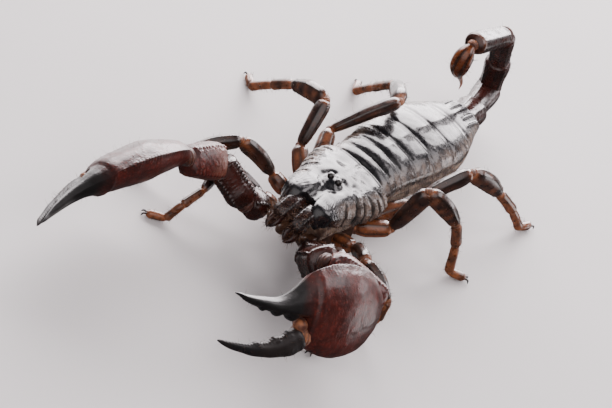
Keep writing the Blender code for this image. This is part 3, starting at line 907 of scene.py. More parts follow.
def shield(y: np.ndarray, middle: np.ndarray, half: np.ndarray, crest: np.ndarray, rim: np.ndarray,
           square: np.ndarray, cols: int) -> Patch:
    """An arched plate from right to left, with its side edges turned in underneath.

    Args:
        y: places along the body.
        middle: sideways place of the centre line.
        half: half width.
        crest: height of the middle.
        rim: height of the side edges.
        square: 2 for an oval arch and more for a boxier one.
        cols: points across it.

    Returns:
        The plate.
    """
    a = np.linspace(math.pi, 0.0, cols)
    power = (2.0 / square)[:, None]
    x = half[:, None] * boxed(np.cos(a), power)
    z = rim[:, None] + (crest - rim)[:, None] * np.abs(np.sin(a)) ** power
    edge_x = np.stack([half - 0.9, half - 0.3, half - 0.02, half + 0.03], axis=1)
    edge_z = np.stack([rim - 0.45, rim - 0.85, rim - 0.72, rim - 0.35], axis=1)
    x = np.concatenate([-edge_x, x, edge_x[:, ::-1]], axis=1) + middle[:, None]
    z = np.concatenate([edge_z, z, edge_z[:, ::-1]], axis=1)
    return Patch(np.stack([x, np.repeat(y[:, None], x.shape[1], axis=1), z], axis=-1), tube=False)


@dataclass
class Carapace:
    """The head shield with its two lobes, notch, furrows and eye tubercle."""

    trunk: Trunk
    nose_y: float = -33.2
    rear_y: float = -13.1
    notch_depth: float = 2.4
    notch_width: float = 1.15
    eye_y: float = -23.8
    eye_gap: float = 0.95
    eye_radius: float = 0.72
    nose_round: float = 1.75
    front_z: float = 11.5
    corner: float = 0.9
    rows: int = 120
    cols: int = 150
    grain_count: int = 900
    grain_sizes: tuple = (0.10, 0.20)
    side_eyes: int = 3
    flank_folds: tuple = ((-25.2, -0.5, 0.62, 0.30), (-22.3, -0.35, 0.52, 0.42), (-20.6, -0.1, 0.70, 0.22),
                          (-18.6, 0.1, 0.58, 0.34), (-16.9, 0.3, 0.74, 0.22), (-15.2, 0.5, 0.55, 0.36))

    def build(self, shop: Workshop) -> None:
        """Make the shield, the middle eyes and the small side eyes.

        Args:
            shop: makes the pieces.
        """
        patch = self._shape()
        shop.piece("head_shield", [patch], Palette.BLACK, ("carapace",))
        for tag, sign in SIDES:
            self._eye(shop, tag, sign)

    def _shape(self) -> Patch:
        """The plate with its lobes and furrows.

        Returns:
            The plate.
        """
        t = self.trunk
        curl = np.linspace(0.0, 0.5 * math.pi, 16)
        front_y = self.nose_y + self.nose_round * (1.0 - np.cos(curl))
        y = np.concatenate([[self.nose_y + 1.0, self.nose_y + 0.4], front_y,
                            np.linspace(front_y[-1] + 0.2, self.rear_y, self.rows)])
        rise = np.concatenate([[0.06, 0.0], np.sin(curl), np.ones(self.rows)])
        low = self.front_z
        crest = low + (eased(t.carapace_crest, y) - low) * rise
        seat = eased(t.carapace_seat, y)
        rim = low + (seat + t.rim - low) * np.minimum(rise, 1.0)
        half = eased(t.carapace_width, y) * (0.84 + 0.16 * rise)
        patch = shield(y, t.middle(y), half, crest, np.minimum(rim, crest - 0.02),
                       eased(t.carapace_square, y), self.cols)
        x, yy = patch.points[..., 0], patch.points[..., 1].copy()
        share = (yy - self.nose_y) / (self.rear_y - self.nose_y)
        front = np.clip(1.0 - share * 3.0, 0.0, 1.0) ** 2
        corner = self.corner * ramp(np.abs(x), 2.8, 5.2) ** 2
        patch.points[..., 1] += (self.notch_depth * bell(x, self.notch_width) + corner) * front
        patch.lift(self._relief(patch, x, yy))
        flank = ramp(np.abs(x), 3.5, 7.0)
        patch.pebble(self.grain_count, flank + 0.05, (11, 12), self.grain_sizes, 0.4)
        return patch

    def _relief(self, patch: Patch, x: np.ndarray, y: np.ndarray) -> np.ndarray:
        """Height of the lobes, furrows, tubercle, rear folds and rims.

        Args:
            patch: the plate, which gets the masks.
            x: sideways place of each point.
            y: place of each point along the body.

        Returns:
            Height at each point.
        """
        wide = eased(self.trunk.carapace_width, y)
        side = np.abs(x) / wide
        from_eye = np.hypot(x, y - self.eye_y)
        lobes = 0.30 * bell(np.abs(x) - 3.0, 2.0) * ramp(y, -24.0, -31.0)
        tubercle = 0.75 * bell(from_eye, 1.45) - 0.25 * bell(x, 0.25) * bell(from_eye, 1.2)
        furrow = bell(x, 0.2) * (ramp(y, -24.9, -25.6) * 0.5 + ramp(y, -22.0, -20.5) * 0.25)
        valley = bell(x, 1.1) * ramp(y, -24.6, -27.8)
        moat = 0.44 * bell(from_eye - 2.3, 0.8) * ramp(np.abs(x), 0.3, 1.2)
        moat += 0.24 * bell(np.hypot(np.abs(x) - 3.6, (y + 20.6) * 0.7), 1.1)
        folds = np.zeros_like(x)
        for place, lean, start, width in self.flank_folds:
            line = place + lean * (side - 0.7) * 6.0
            folds += bell(y - line, width) * ramp(side, start, start + 0.2)
        saddle = 0.25 * bell(y + 16.6, 1.6) * bell(np.abs(x) - 2.6, 1.5)
        rims = 0.14 * bell(y - self.rear_y + 0.3, 0.25) + 0.14 * bell(side - 0.985, 0.02)
        angle = np.arctan2(x, y - self.eye_y - 3.0)
        streak = 0.018 * np.sin(angle * 110.0 + 3.0 * waves(patch.points, 2.0, 5))
        streak *= ramp(from_eye, 3.0, 6.0) * ramp(y, -19.0, -24.0) * ramp(y, -32.0, -30.0)
        dents = 0.09 * waves(patch.points, 4.2, 3) + 0.022 * waves(patch.points, 1.4, 4)
        # Painted shade in the median furrow and the flank folds.
        patch.mark(Mask.FOLD_PAINTED_SHADE, 1.6 * furrow + 0.7 * folds)
        # Painted pearly sheen on the front flanks of the shield, weaker in the folds.
        thin = ramp(side, 0.60, 0.86) * ramp(y, -30.5, -25.0)
        thin = thin * (0.75 + 0.35 * waves(patch.points, 1.6, 6))
        patch.mark(Mask.WARM_AND_PAINTED_LIGHT, thin * (1.0 - 0.8 * folds))
        return lobes + tubercle - furrow - valley - moat - 0.35 * folds - saddle + rims + streak + dents

    def _eye(self, shop: Workshop, tag: str, sign: int) -> None:
        """One middle eye, and the three small side eyes near the corner of the shield.

        Args:
            shop: makes the pieces.
            tag: right or left.
            sign: -1 on the right and 1 on the left.
        """
        crest = float(eased(self.trunk.carapace_crest, np.array([self.eye_y]))[0])
        centre = vec(sign * self.eye_gap, self.eye_y, crest + 0.55)
        beads = [bead(centre, self.eye_radius, 26, 20)]
        for k in range(self.side_eyes):
            place = vec(sign * (5.15 + 0.22 * k), -31.2 + 0.85 * k, 12.9 - 0.1 * k)
            beads.append(bead(place, 0.34, 16, 12))
        shop.piece(f"eyes_{tag}", beads, Palette.EYE, (f"eye_{tag}",))


def bead(centre: np.ndarray, radius: float, cols: int, rows: int,
         squash: tuple = (1.0, 1.0, 1.0)) -> Patch:
    """A small closed ball.

    Args:
        centre: the middle.
        radius: half the size.
        cols: points around.
        rows: points from pole to pole.
        squash: stretch along each axis.

    Returns:
        The ball.
    """
    lat = np.linspace(-0.5 * math.pi + 0.02, 0.5 * math.pi - 0.02, rows)
    lon = turn(cols)
    ball = np.stack([np.cos(lat)[:, None] * np.cos(lon), np.cos(lat)[:, None] * np.sin(lon),
                     np.repeat(np.sin(lat)[:, None], cols, axis=1)], axis=-1)
    return Patch(centre + ball * radius * np.array(squash))


@dataclass
class BackPlates:
    """Seven overlapping tergites."""

    trunk: Trunk
    tuck: float = 0.9
    dome: float = 0.34
    rear_round: float = 0.3
    cols: int = 130
    keel_places: tuple = (1.7, 3.4)
    grains_per_mm: int = 90
    grain_sizes: tuple = (0.07, 0.14)

    def build(self, shop: Workshop) -> None:
        """Make each plate as its own piece.

        Args:
            shop: makes the pieces.
        """
        edges = self.trunk.back_edges
        for k, (front, rear) in enumerate(zip(edges, edges[1:])):
            patch = self._plate(k, front, rear)
            shop.piece(f"tergite_{k + 1}", [patch], Palette.BLACK,
                       (f"back_plate_{k + 1}",))

    def _plate(self, k: int, front: float, rear: float) -> Patch:
        """One plate: tucked in at the front, domed, with a rounded rear rim.

        Args:
            k: its number from the front.
            front: front edge.
            rear: rear edge.

        Returns:
            The plate.
        """
        t = self.trunk
        length = rear - front
        body = np.linspace(front - self.tuck, rear - self.rear_round, 26 + int(6 * length))
        curl = np.linspace(0.15, 0.5 * math.pi, 7)
        back = rear - self.rear_round + self.rear_round * np.sin(curl)
        y = np.concatenate([body, back, [rear - 0.25]])
        drop = np.concatenate([np.zeros(len(body)), self.rear_round * (1.0 - np.cos(curl)), [0.7]])
        share = (y - front) / length
        lip = 0.45 * np.clip(share, -0.4, 1.0) - 0.27
        dome = self.dome * np.sin(math.pi * np.clip(share, 0.0, 1.0) ** 0.8)
        tucked = 0.55 * ramp(share, 0.06, -0.25)
        crest = eased(t.back_crest, y) + lip + dome - tucked - drop
        half = eased(t.back_width, y) * 0.965 + 0.18 * (share - 0.5) - 0.5 * tucked - 0.6 * drop
        rim = eased(t.back_seat, y) + t.rim + 1.3 + 0.3 * drop
        patch = shield(y, t.middle(y), half, crest, rim, np.full(len(y), 2.0), self.cols)
        x = patch.points[..., 0] - t.middle(y)[:, None]
        yy = patch.points[..., 1]
        side = np.abs(x) / half[:, None]
        into = (yy - front) / length
        groove = bell(into - 0.16, 0.5 / length) * ramp(side, 0.95, 0.7)
        muscle = 0.07 * bell(np.abs(x) - 3.2, 1.3) * bell(into - 0.45, 0.25)
        ripple = 0.02 * waves(patch.points, 2.6, 20 + k) + 0.008 * waves(patch.points, 0.9, 40 + k)
        height = 0.06 * bell(x, 0.7) * ramp(into, 0.1, 0.5) - 0.10 * groove - muscle + ripple
        height += 0.07 * bell(side - 0.96, 0.025) + 0.05 * bell(into - 0.97, 0.3 / length)
        if k == len(t.back_edges) - 2:
            for place in self.keel_places:
                keel = bell(np.abs(x) - place, 0.28) * ramp(into, 0.35, 0.55) * ramp(into, 0.97, 0.9)
                height += keel * (0.16 + 0.14 * np.abs(np.sin(yy * 5.2)))
                patch.mark(Mask.KEEL, keel)
        patch.lift(height)
        # Painted shade in the front groove.
        patch.mark(Mask.FOLD_PAINTED_SHADE, 0.5 * groove)
        # Painted pearly sheen in streaks on the plate's flanks.
        sheen_streaks = 0.55 + 0.45 * np.sin(yy * 3.1 + 1.3 * waves(patch.points, 2.4, 90 + k))
        patch.mark(Mask.WARM_AND_PAINTED_LIGHT, ramp(side, 0.62, 0.88) * (0.30 + 0.70 * sheen_streaks))
        patch.pebble(int(self.grains_per_mm * length), ramp(side, 0.55, 0.95) + 0.03, (60 + k, 80 + k),
                     self.grain_sizes, 0.35)
        return patch


@dataclass
class FlankSkin:
    """The pleated skin that shows between the back plates and the belly plates."""

    trunk: Trunk
    pleat: float = 0.62
    crease: float = 1.15
    depth: float = 0.16
    front_y: float = -29.6
    rear_y: float = 26.9
    top_z: float = 12.6
    rows: int = 260
    cols: int = 110

    def build(self, shop: Workshop) -> None:
        """Add the skin's tube to the shared flank skin.

        Args:
            shop: makes the pieces.
        """
        t = self.trunk
        y = np.linspace(self.front_y, self.rear_y, self.rows)
        front = ramp(y, -12.4, -14.2)
        half = eased(t.back_width, y) * (1.0 - front) + (eased(t.belly_width, y) + 0.9) * front - 0.12
        top = (eased(t.back_crest, y) * (1.0 - front) + eased(t.carapace_crest, y) * front) - 1.4
        top = np.minimum(top, self.top_z)
        bottom = eased(t.belly_depth, y) + 0.45
        a = turn(self.cols)
        cos, sin = boxed(np.cos(a), 0.75), -boxed(np.sin(a), 0.75)
        x = t.middle(y)[:, None] + half[:, None] * cos
        z = 0.5 * (top + bottom)[:, None] + 0.5 * (top - bottom)[:, None] * sin
        patch = Patch(np.stack([x, np.repeat(y[:, None], len(a), axis=1), z], axis=-1))
        flank = np.abs(np.cos(a))[None, :] ** 2
        wobble = 0.5 * waves(patch.points, 3.0, 91)
        pleats = np.cos(2.0 * math.pi * y[:, None] / self.pleat + 2.0 * wobble)
        creases = np.cos(2.0 * math.pi * z / self.crease + 1.5 * wobble)
        patch.lift(flank * self.depth * (0.6 * pleats + creases) + 0.10 * flank * wobble)
        # Painted shade in the recessed creases.
        patch.mark(Mask.FOLD_PAINTED_SHADE, flank * ramp(-creases - 0.4 * pleats, 0.1, 1.1))
        shop.skins[Palette.SKIN.name].append(patch)


@dataclass
class BellyPlates:
    """Five sternites with their breathing slits, under the belly."""

    trunk: Trunk
    edges: tuple = (-7.4, -0.6, 5.6, 11.6, 17.6, 26.8)
    slit_x: float = 4.1
    furrow_x: float = 2.2
    rows: int = 40
    cols: int = 90

    def build(self, shop: Workshop) -> None:
        """Make the plates as one piece in place of the belly solid."""
        patches = [self._plate(k, a, b) for k, (a, b) in enumerate(zip(self.edges, self.edges[1:]))]
        shop.piece("sternites", patches, Palette.UNDER, ("belly",))

    def _plate(self, k: int, front: float, rear: float) -> Patch:
        """One plate, from left to right so that it faces down.

        Args:
            k: its number from the front.
            front: front edge.
            rear: rear edge.

        Returns:
            The plate.
        """
        t = self.trunk
        y = np.concatenate([np.linspace(front - 0.5, rear - 0.15, self.rows), [rear, rear - 0.1]])
        share = (y - front) / (rear - front)
        half = eased(t.belly_width, y) * 0.96
        low = eased(t.belly_depth, y) - 0.12 + 0.3 * ramp(share, 0.05, -0.1)
        low[-1] += 0.35
        high = eased(t.back_seat, y) - 2.1
        a = np.linspace(0.0, math.pi, self.cols)
        x = half[:, None] * boxed(np.cos(a), 0.62)
        z = high[:, None] - (high - low)[:, None] * np.sin(a)[None, :] ** 0.62
        points = np.stack([x + t.middle(y)[:, None], np.repeat(y[:, None], len(a), axis=1), z], axis=-1)
        patch = Patch(points, tube=False)
        into, away = share[:, None], np.abs(x)
        last = k == len(self.edges) - 2
        slit = np.zeros_like(x)
        if not last:
            slit = bell(away - self.slit_x, 0.75) * bell(into - 0.42 - 0.02 * (away - self.slit_x), 0.028)
        furrow = bell(away - self.furrow_x, 0.3) * ramp(into, 0.1, 0.4) * ramp(into, 1.0, 0.75) * last
        patch.lift(-0.25 * slit + 0.12 * furrow + 0.05 * waves(points, 2.5, 70 + k))
        # Painted shade in the breathing slits.
        patch.mark(Mask.FOLD_PAINTED_SHADE, slit)
        return patch


@dataclass
class UnderHead:
    """Leg bases, breastbone, genital plate and combs, seen from below."""

    trunk: Trunk
    roots: tuple = LEG_ROOTS
    inner_y: tuple = (-29.2, -25.2, -20.8, -16.8)
    mouth_lobes: tuple = ((-33.8, 1.1, 2.3), (-31.8, 2.7, 2.0))
    breastbone: tuple = ((0.0, -18.3, 4.15), 1.5, (0.85, 1.35, 0.35))
    lid: tuple = ((1.15, -14.4, 3.9), 1.3, (0.95, 0.8, 0.35))
    comb_seat: tuple = ((0.0, -12.0, 3.6), 1.4, (1.1, 0.7, 0.35))
    grain_count: int = 160
    grain_sizes: tuple = (0.09, 0.09)
    comb_teeth: int = 16
    comb_length: float = 8.0

    def build(self, shop: Workshop) -> None:
        """Make the leg bases in place of the coxae solid, then the combs.

        Args:
            shop: makes the pieces.
        """
        parts = []
        for _, sign in SIDES:
            for k, (root, inner) in enumerate(zip(self.roots, self.inner_y)):
                parts.append(self._base(sign, k, root, inner))
            parts += [self._mouth_lobe(sign, *lobe) for lobe in self.mouth_lobes]
        parts.append(self._knob(1, *self.breastbone))
        parts += [self._knob(sign, *self.lid) for _, sign in SIDES]
        parts.append(self._knob(1, *self.comb_seat))
        shop.piece("leg_bases", parts, Palette.UNDER, ("coxae",))
        for tag, sign in SIDES:
            self._comb(shop, tag, sign)

    def _knob(self, sign: int, place: tuple, radius: float, squash: tuple) -> Patch:
        """A low rounded plate in the middle of the chest."""
        return bead(vec(sign * place[0], *place[1:]), radius, 30, 20, squash)

    def _base(self, sign: int, k: int, root: tuple, inner: float) -> Patch:
        """One coxa, from beside the breastbone out to the leg.

        Args:
            sign: -1 on the right and 1 on the left.
            k: its number from the front.
            root: where the leg starts.
            inner: place of its inner end along the body.

        Returns:
            The surface.
        """
        end = vec(sign * root[0], root[1], root[2])
        path = [vec(sign * 0.9, inner + 0.4, 4.7), vec(sign * 3.4, 0.5 * (inner + root[1]), 5.0), end]
        sleeve = Sleeve(np.array(path), vec(0.0, 1.0, 0.0),
                        ((0.0, 1.45), (0.12, 1.75), (0.4, 2.1), (0.75, 2.35), (1.0, 1.75)),
                        ((0.0, 0.75), (0.12, 1.0), (0.4, 1.35), (0.75, 1.9), (1.0, 1.75)), 3.0,
                        (Keel(12.0, 0.16, 0.25), Keel(168.0, 0.16, 0.25)), 46, 48, seed=200 + k)
        patch = sleeve.patch()
        patch.pebble(self.grain_count, None, (210 + k, 0), self.grain_sizes, 0.4)
        return patch

    def _mouth_lobe(self, sign: int, y: float, x: float, reach: float) -> Patch:
        """A lobe of the first leg bases that floors the mouth."""
        path = np.array([[sign * x * 1.5, y + 5.0, 5.0], [sign * x * 1.1, y + 2.0, 5.1], [sign * x, y, 5.4]])
        return Sleeve(path, ACROSS, ((0.0, 1.0), (0.6, 1.1), (0.9, 0.8), (1.0, 0.3)),
                      ((0.0, 1.0), (0.6, 1.0), (0.9, 0.7), (1.0, 0.25)), 2.3, (), 36, 36,
                      seed=int(10 * reach)).patch()

    def _comb(self, shop: Workshop, tag: str, sign: int) -> None:
        """One pecten: a jointed shaft with a row of teeth along its rear edge.

        Args:
            shop: makes the pieces.
            tag: right or left.
            sign: -1 on the right and 1 on the left.
        """
        aim = unit(vec(sign * 0.94, 0.34, 0.0))
        rear = vec(-sign * aim[1], sign * aim[0], 0.0)
        start = vec(sign * 1.0, -10.6, 2.5)
        path = np.array([start + aim * s - rear * 0.3 for s in (0.0, 3.0, 6.0, self.comb_length)])
        shaft = Sleeve(path, rear, ((0.0, 0.6), (0.5, 0.62), (1.0, 0.25)),
                       ((0.0, 0.36), (0.5, 0.34), (1.0, 0.2)), 2.2, (Keel(0.0, 0.08, 0.1, 0.5),), 60, 20)
        parts = [shaft.patch()]
        for k in range(self.comb_teeth):
            s = 0.5 + (self.comb_length - 0.9) * k / (self.comb_teeth - 1)
            root = start + aim * s + rear * 0.2
            tip = root + rear * 1.75 + aim * 0.12
            parts.append(Sleeve(np.array([root, 0.5 * (root + tip), tip]), aim,
                                ((0.0, 0.17), (0.6, 0.21), (0.92, 0.17), (1.0, 0.05)),
                                ((0.0, 0.24), (0.6, 0.28), (0.92, 0.2), (1.0, 0.06)), 2.0, (), 14, 12,
                                swell=0.0).patch())
        shop.piece(f"pecten_{tag}", parts, Palette.AMBER, (f"comb_{tag}",))


@dataclass
class Jaws:
    """Two chelicerae, each a stout base with a fixed and a moving toothed finger."""

    x: float = 1.9
    half: float = 1.78
    line: tuple = ((-30.0, 11.4), (-32.6, 11.7), (-34.6, 10.9), (-36.2, 9.7))
    grain_count: int = 260
    grain_sizes: tuple = (0.08, 0.17)
    hair_counts: tuple = (280, 70)
    fingers: tuple = ((-0.6, 0.35, 2.6, -0.35), (0.75, -0.4, 2.7, 0.45))

    def build(self, shop: Workshop) -> None:
        """Make both jaws and their bristles."""
        for tag, sign in SIDES:
            self._jaw(shop, tag, sign)

    def _jaw(self, shop: Workshop, tag: str, sign: int) -> None:
        """One jaw in place of its solid.

        Args:
            shop: makes the pieces.
            tag: right or left.
            sign: -1 on the right and 1 on the left.
        """
        path = np.array([[sign * self.x, y, z] for y, z in self.line])
        wide = ((0.0, 1.4), (0.2, self.half), (0.7, self.half), (0.92, 1.35), (1.0, 0.8))
        tall = ((0.0, 1.4), (0.2, 1.85), (0.6, 1.95), (0.92, 1.4), (1.0, 0.8))
        keels = (Keel(62.0, 0.10, 0.3, 0.5), Keel(118.0, 0.10, 0.3, 0.5))
        base = Sleeve(path, ACROSS, wide, tall, 2.4, keels, 70, 64, seed=300).patch()
        upward = ramp(base.normals()[..., 2], -0.3, 0.6) + 0.05
        base.pebble(self.grain_count, upward, (301 + sign, 302), self.grain_sizes, 0.5)
        # Darkened towards black: the jaw's own dark brown, partly painted shade beneath the head shield.
        base.mark(Mask.TIP, 0.55 + 0.15 * waves(base.points, 1.5, 303))
        parts = [base]
        on_base, on_finger = self.hair_counts
        for k, shape in enumerate(self.fingers):
            finger = self._finger(sign, k, *shape)
            parts.append(finger)
            shop.fuzz(finger, on_finger, 1.3, 320 + k + sign, lean=vec(0.0, -0.6, -0.3))
        ahead = ramp(base.points[..., 1], -32.6, -35.0)
        shop.fuzz(base, on_base, 1.6, 330 + sign, 0.15 + ahead, lean=vec(0.0, -0.9, 0.1))
        shop.piece(f"chelicera_{tag}", parts, Palette.BROWN, (f"jaw_{tag}",))

    def _finger(self, sign: int, k: int, dx: float, dz: float, length: float, curl: float) -> Patch:
        """One toothed finger of a jaw.

        Args:
            sign: -1 on the right and 1 on the left.
            k: 0 for the inner finger and 1 for the outer.
            dx: sideways place of its root.
            dz: height of its root.
            length: its reach.
            curl: sideways bow.

        Returns:
            The finger.
        """
        rows, cols = 40, 28
        root = vec(sign * (self.x + dx), -35.6, 9.8 + dz)
        tip = vec(sign * (self.x + 0.1 * dx), -35.5 - length, 8.3 + 0.3 * dz)
        bow = 0.5 * (root + tip) + vec(sign * curl, 0.0, 0.5 * dz + 0.2)
        teeth = Keel(90.0 if sign * curl > 0 else 270.0, 0.3, 0.16, 0.62, 0.2, 0.9, 1.3)
        finger = Sleeve(np.array([root, bow, tip]), UP, ((0.0, 0.85), (0.5, 0.6), (0.9, 0.25), (1.0, 0.06)),
                        ((0.0, 0.8), (0.5, 0.55), (0.9, 0.22), (1.0, 0.05)), 2.1, (teeth,),
                        rows, cols, seed=310 + k).patch()
        finger.mark(Mask.TIP, np.repeat(np.linspace(0.0, 1.0, rows)[:, None] ** 1.5, cols, axis=1))
        return finger


# ---- tail

@dataclass
class Tail:
    """Five keeled rings, the bulb and the sting."""

    joints: tuple = ((1.7, 27.0, 8.2), (0.9, 34.9, 6.6), (-0.6, 43.4, 7.6), (-1.7, 40.6, 16.7),
                     (-2.2, 34.2, 26.0), (-2.8, 19.4, 29.6))
    widths: tuple = (7.1, 6.1, 5.5, 5.1, 4.8)
    heights: tuple = (6.1, 5.7, 5.3, 5.0, 4.4)
    bulb: tuple = ((-2.8, 19.3, 29.3), (-2.7, 18.0, 27.6), (-2.5, 17.7, 25.4), (-2.2, 18.3, 23.2),
                   (-1.8, 19.6, 21.4), (-1.4, 21.2, 19.8), (-1.1, 22.3, 18.2), (-1.0, 22.6, 16.6))
    bulb_half: tuple = ((0.0, 0.8), (0.05, 1.1), (0.14, 1.75), (0.26, 2.1), (0.38, 2.0), (0.50, 1.35),
                        (0.60, 0.72), (0.75, 0.42), (0.89, 0.26), (0.97, 0.13), (1.0, 0.04))
    ring_wide: tuple = ((0.0, 0.78), (0.07, 0.90), (0.3, 0.88), (0.8, 0.97), (0.95, 0.98), (1.0, 0.84))
    ring_tall: tuple = ((0.0, 0.76), (0.07, 0.88), (0.3, 0.86), (0.8, 0.95), (0.95, 0.96), (1.0, 0.82))
    furrow: float = -0.22
    bead_size: float = 0.62
    last_bead: float = 0.55
    grain_count: int = 260
    grain_sizes: tuple = (0.08, 0.17)
    hair_count: int = 22
    hair: float = 1.1
    last_hair: float = 0.75
    bulb_stripes: float = 7.0

    def build(self, shop: Workshop) -> None:
        """Make all six lengths and the joint skin between them.

        Args:
            shop: makes the pieces.
        """
        joints = [np.array(j) for j in self.joints]
        for k, (near, far) in enumerate(zip(joints, joints[1:])):
            self._ring(shop, k, near, far)
            if k:
                aim = unit(far - near) + unit(near - joints[k - 1])
                shop.joint(near, aim, 0.215 * (self.widths[k] + self.heights[k]), 1.6, Palette.ELBOW)
        shop.joint(joints[0], vec(0.0, 1.0, -0.1), 2.5, 2.0, Palette.ELBOW)
        self._sting(shop)

    def _ring(self, shop: Workshop, k: int, near: np.ndarray, far: np.ndarray) -> None:
        """One ring: paired keels of grains, a furrow along its back, and flared ends.

        Args:
            shop: makes the pieces.
            k: its number from the front.
            near: joint at its front end.
            far: joint at its rear end.
        """
        aim = unit(far - near)
        half, tall = 0.5 * self.widths[k], 0.5 * self.heights[k]
        path = np.array([near + aim * 0.2, 0.5 * (near + far), far - aim * 0.2])
        top, rows, cols = 90.0, 110, 96
        last = k == len(self.widths) - 1
        bead_size = self.last_bead if last else self.bead_size
        keels = [Keel(top, self.furrow, 0.9)]
        for away, height, beads in ((38.0, 0.20, bead_size), (75.0, 0.10, bead_size), (112.0, 0.12, 0.0),
                                    (150.0, 0.12, bead_size if last else 0.0)):
            keels += [Keel(top + away, height, 0.26, beads), Keel(top - away, height, 0.26, beads)]
        if last:
            keels.append(Keel(270.0, 0.25, 0.25, bead_size, tooth=1.3))
        wide = tuple((share, half * size) for share, size in self.ring_wide)
        high = tuple((share, tall * size) for share, size in self.ring_tall)
        patch = Sleeve(path, ACROSS, wide, high, 2.1, tuple(keels), rows, cols, seed=400 + k).patch()
        if last:
            along = np.linspace(0.0, 1.0, rows)[:, None]
            patch.mark(Mask.WARM_AND_PAINTED_LIGHT, 0.7 * bell(along - 0.94, 0.05) * np.ones(cols))
        patch.pebble(self.grain_count, None, (410 + k, 420 + k), self.grain_sizes, 0.45)
        shop.fuzz(patch, self.hair_count, self.last_hair if last else self.hair, 430 + k)
        shop.piece(f"tail_ring_{k + 1}", [patch], Palette.BROWN, (f"tail_{k + 1}",))

    def _sting(self, shop: Workshop) -> None:
        """The bulb with its rows of grains, running out to a dark curved point.

        Args:
            shop: makes the pieces.
        """
        path, rows, cols = np.array(self.bulb), 120, 72
        tall = tuple((share, half * 0.95) for share, half in self.bulb_half)
        keels = tuple(Keel(270.0 + away, 0.12, 0.2, 0.6, 0.1, 0.55) for away in (-50.0, -18.0, 18.0, 50.0))
        patch = Sleeve(path, ACROSS, self.bulb_half, tall, 2.0, keels, rows, cols, seed=450).patch()
        share = np.linspace(0.0, 1.0, rows)[:, None]
        patch.mark(Mask.TIP, np.repeat(ramp(share, 0.8, 0.98), cols, axis=1))
        angle = turn(cols)[None, :]
        stripes = ramp(np.cos(self.bulb_stripes * angle + 0.6), -0.1, 0.7)
        patch.mark(Mask.KEEL, stripes * ramp(share, 0.08, 0.2) * ramp(share, 0.62, 0.5))
        patch.mark(Mask.WARM_AND_PAINTED_LIGHT, np.repeat(ramp(share, 0.5, 0.66), cols, axis=1))
        weight = np.repeat(ramp(share, 0.05, 0.12) * ramp(share, 0.6, 0.45), cols, axis=1)
        shop.fuzz(patch, 50, 1.3, 460, weight)
        shop.joint(path[0], path[1] - path[0] + vec(0.0, -1.0, 0.3), 1.15, 1.4, Palette.JOINT)
        shop.piece("bulb_and_sting", [patch], Palette.STING, ("telson",))


# ---- pincers

@dataclass
class Hand:
    """Axes of one pincer: along it, across towards its fixed finger, and out of its face.

    Angles are in degrees, and opening is how far the moving finger stands away.
    """

    wrist: tuple
    yaw: float
    pitch: float
    roll: float
    sign: int
    opening: float

    def __post_init__(self) -> None:
        """Work out the three axes from the angles."""
        yaw, pitch, roll = (math.radians(a) for a in (self.yaw, self.pitch, self.roll))
        self.along = vec(-self.sign * math.sin(yaw) * math.cos(pitch),
                         -math.cos(yaw) * math.cos(pitch), math.sin(pitch))
        inner = unit(np.cross(self.along, UP)) * self.sign
        up = unit(np.cross(inner, self.along) * self.sign)
        self.across = inner * math.cos(roll) + up * math.sin(roll)
        self.out = np.cross(self.along, self.across) * -self.sign

    def points(self, s: np.ndarray, w: np.ndarray, n: np.ndarray) -> np.ndarray:
        """Places s along, w across and n out of the hand."""
        s, w, n = np.broadcast_arrays(s, w, n)
        return (np.array(self.wrist) + s[..., None] * self.along + w[..., None] * self.across
                + n[..., None] * self.out)


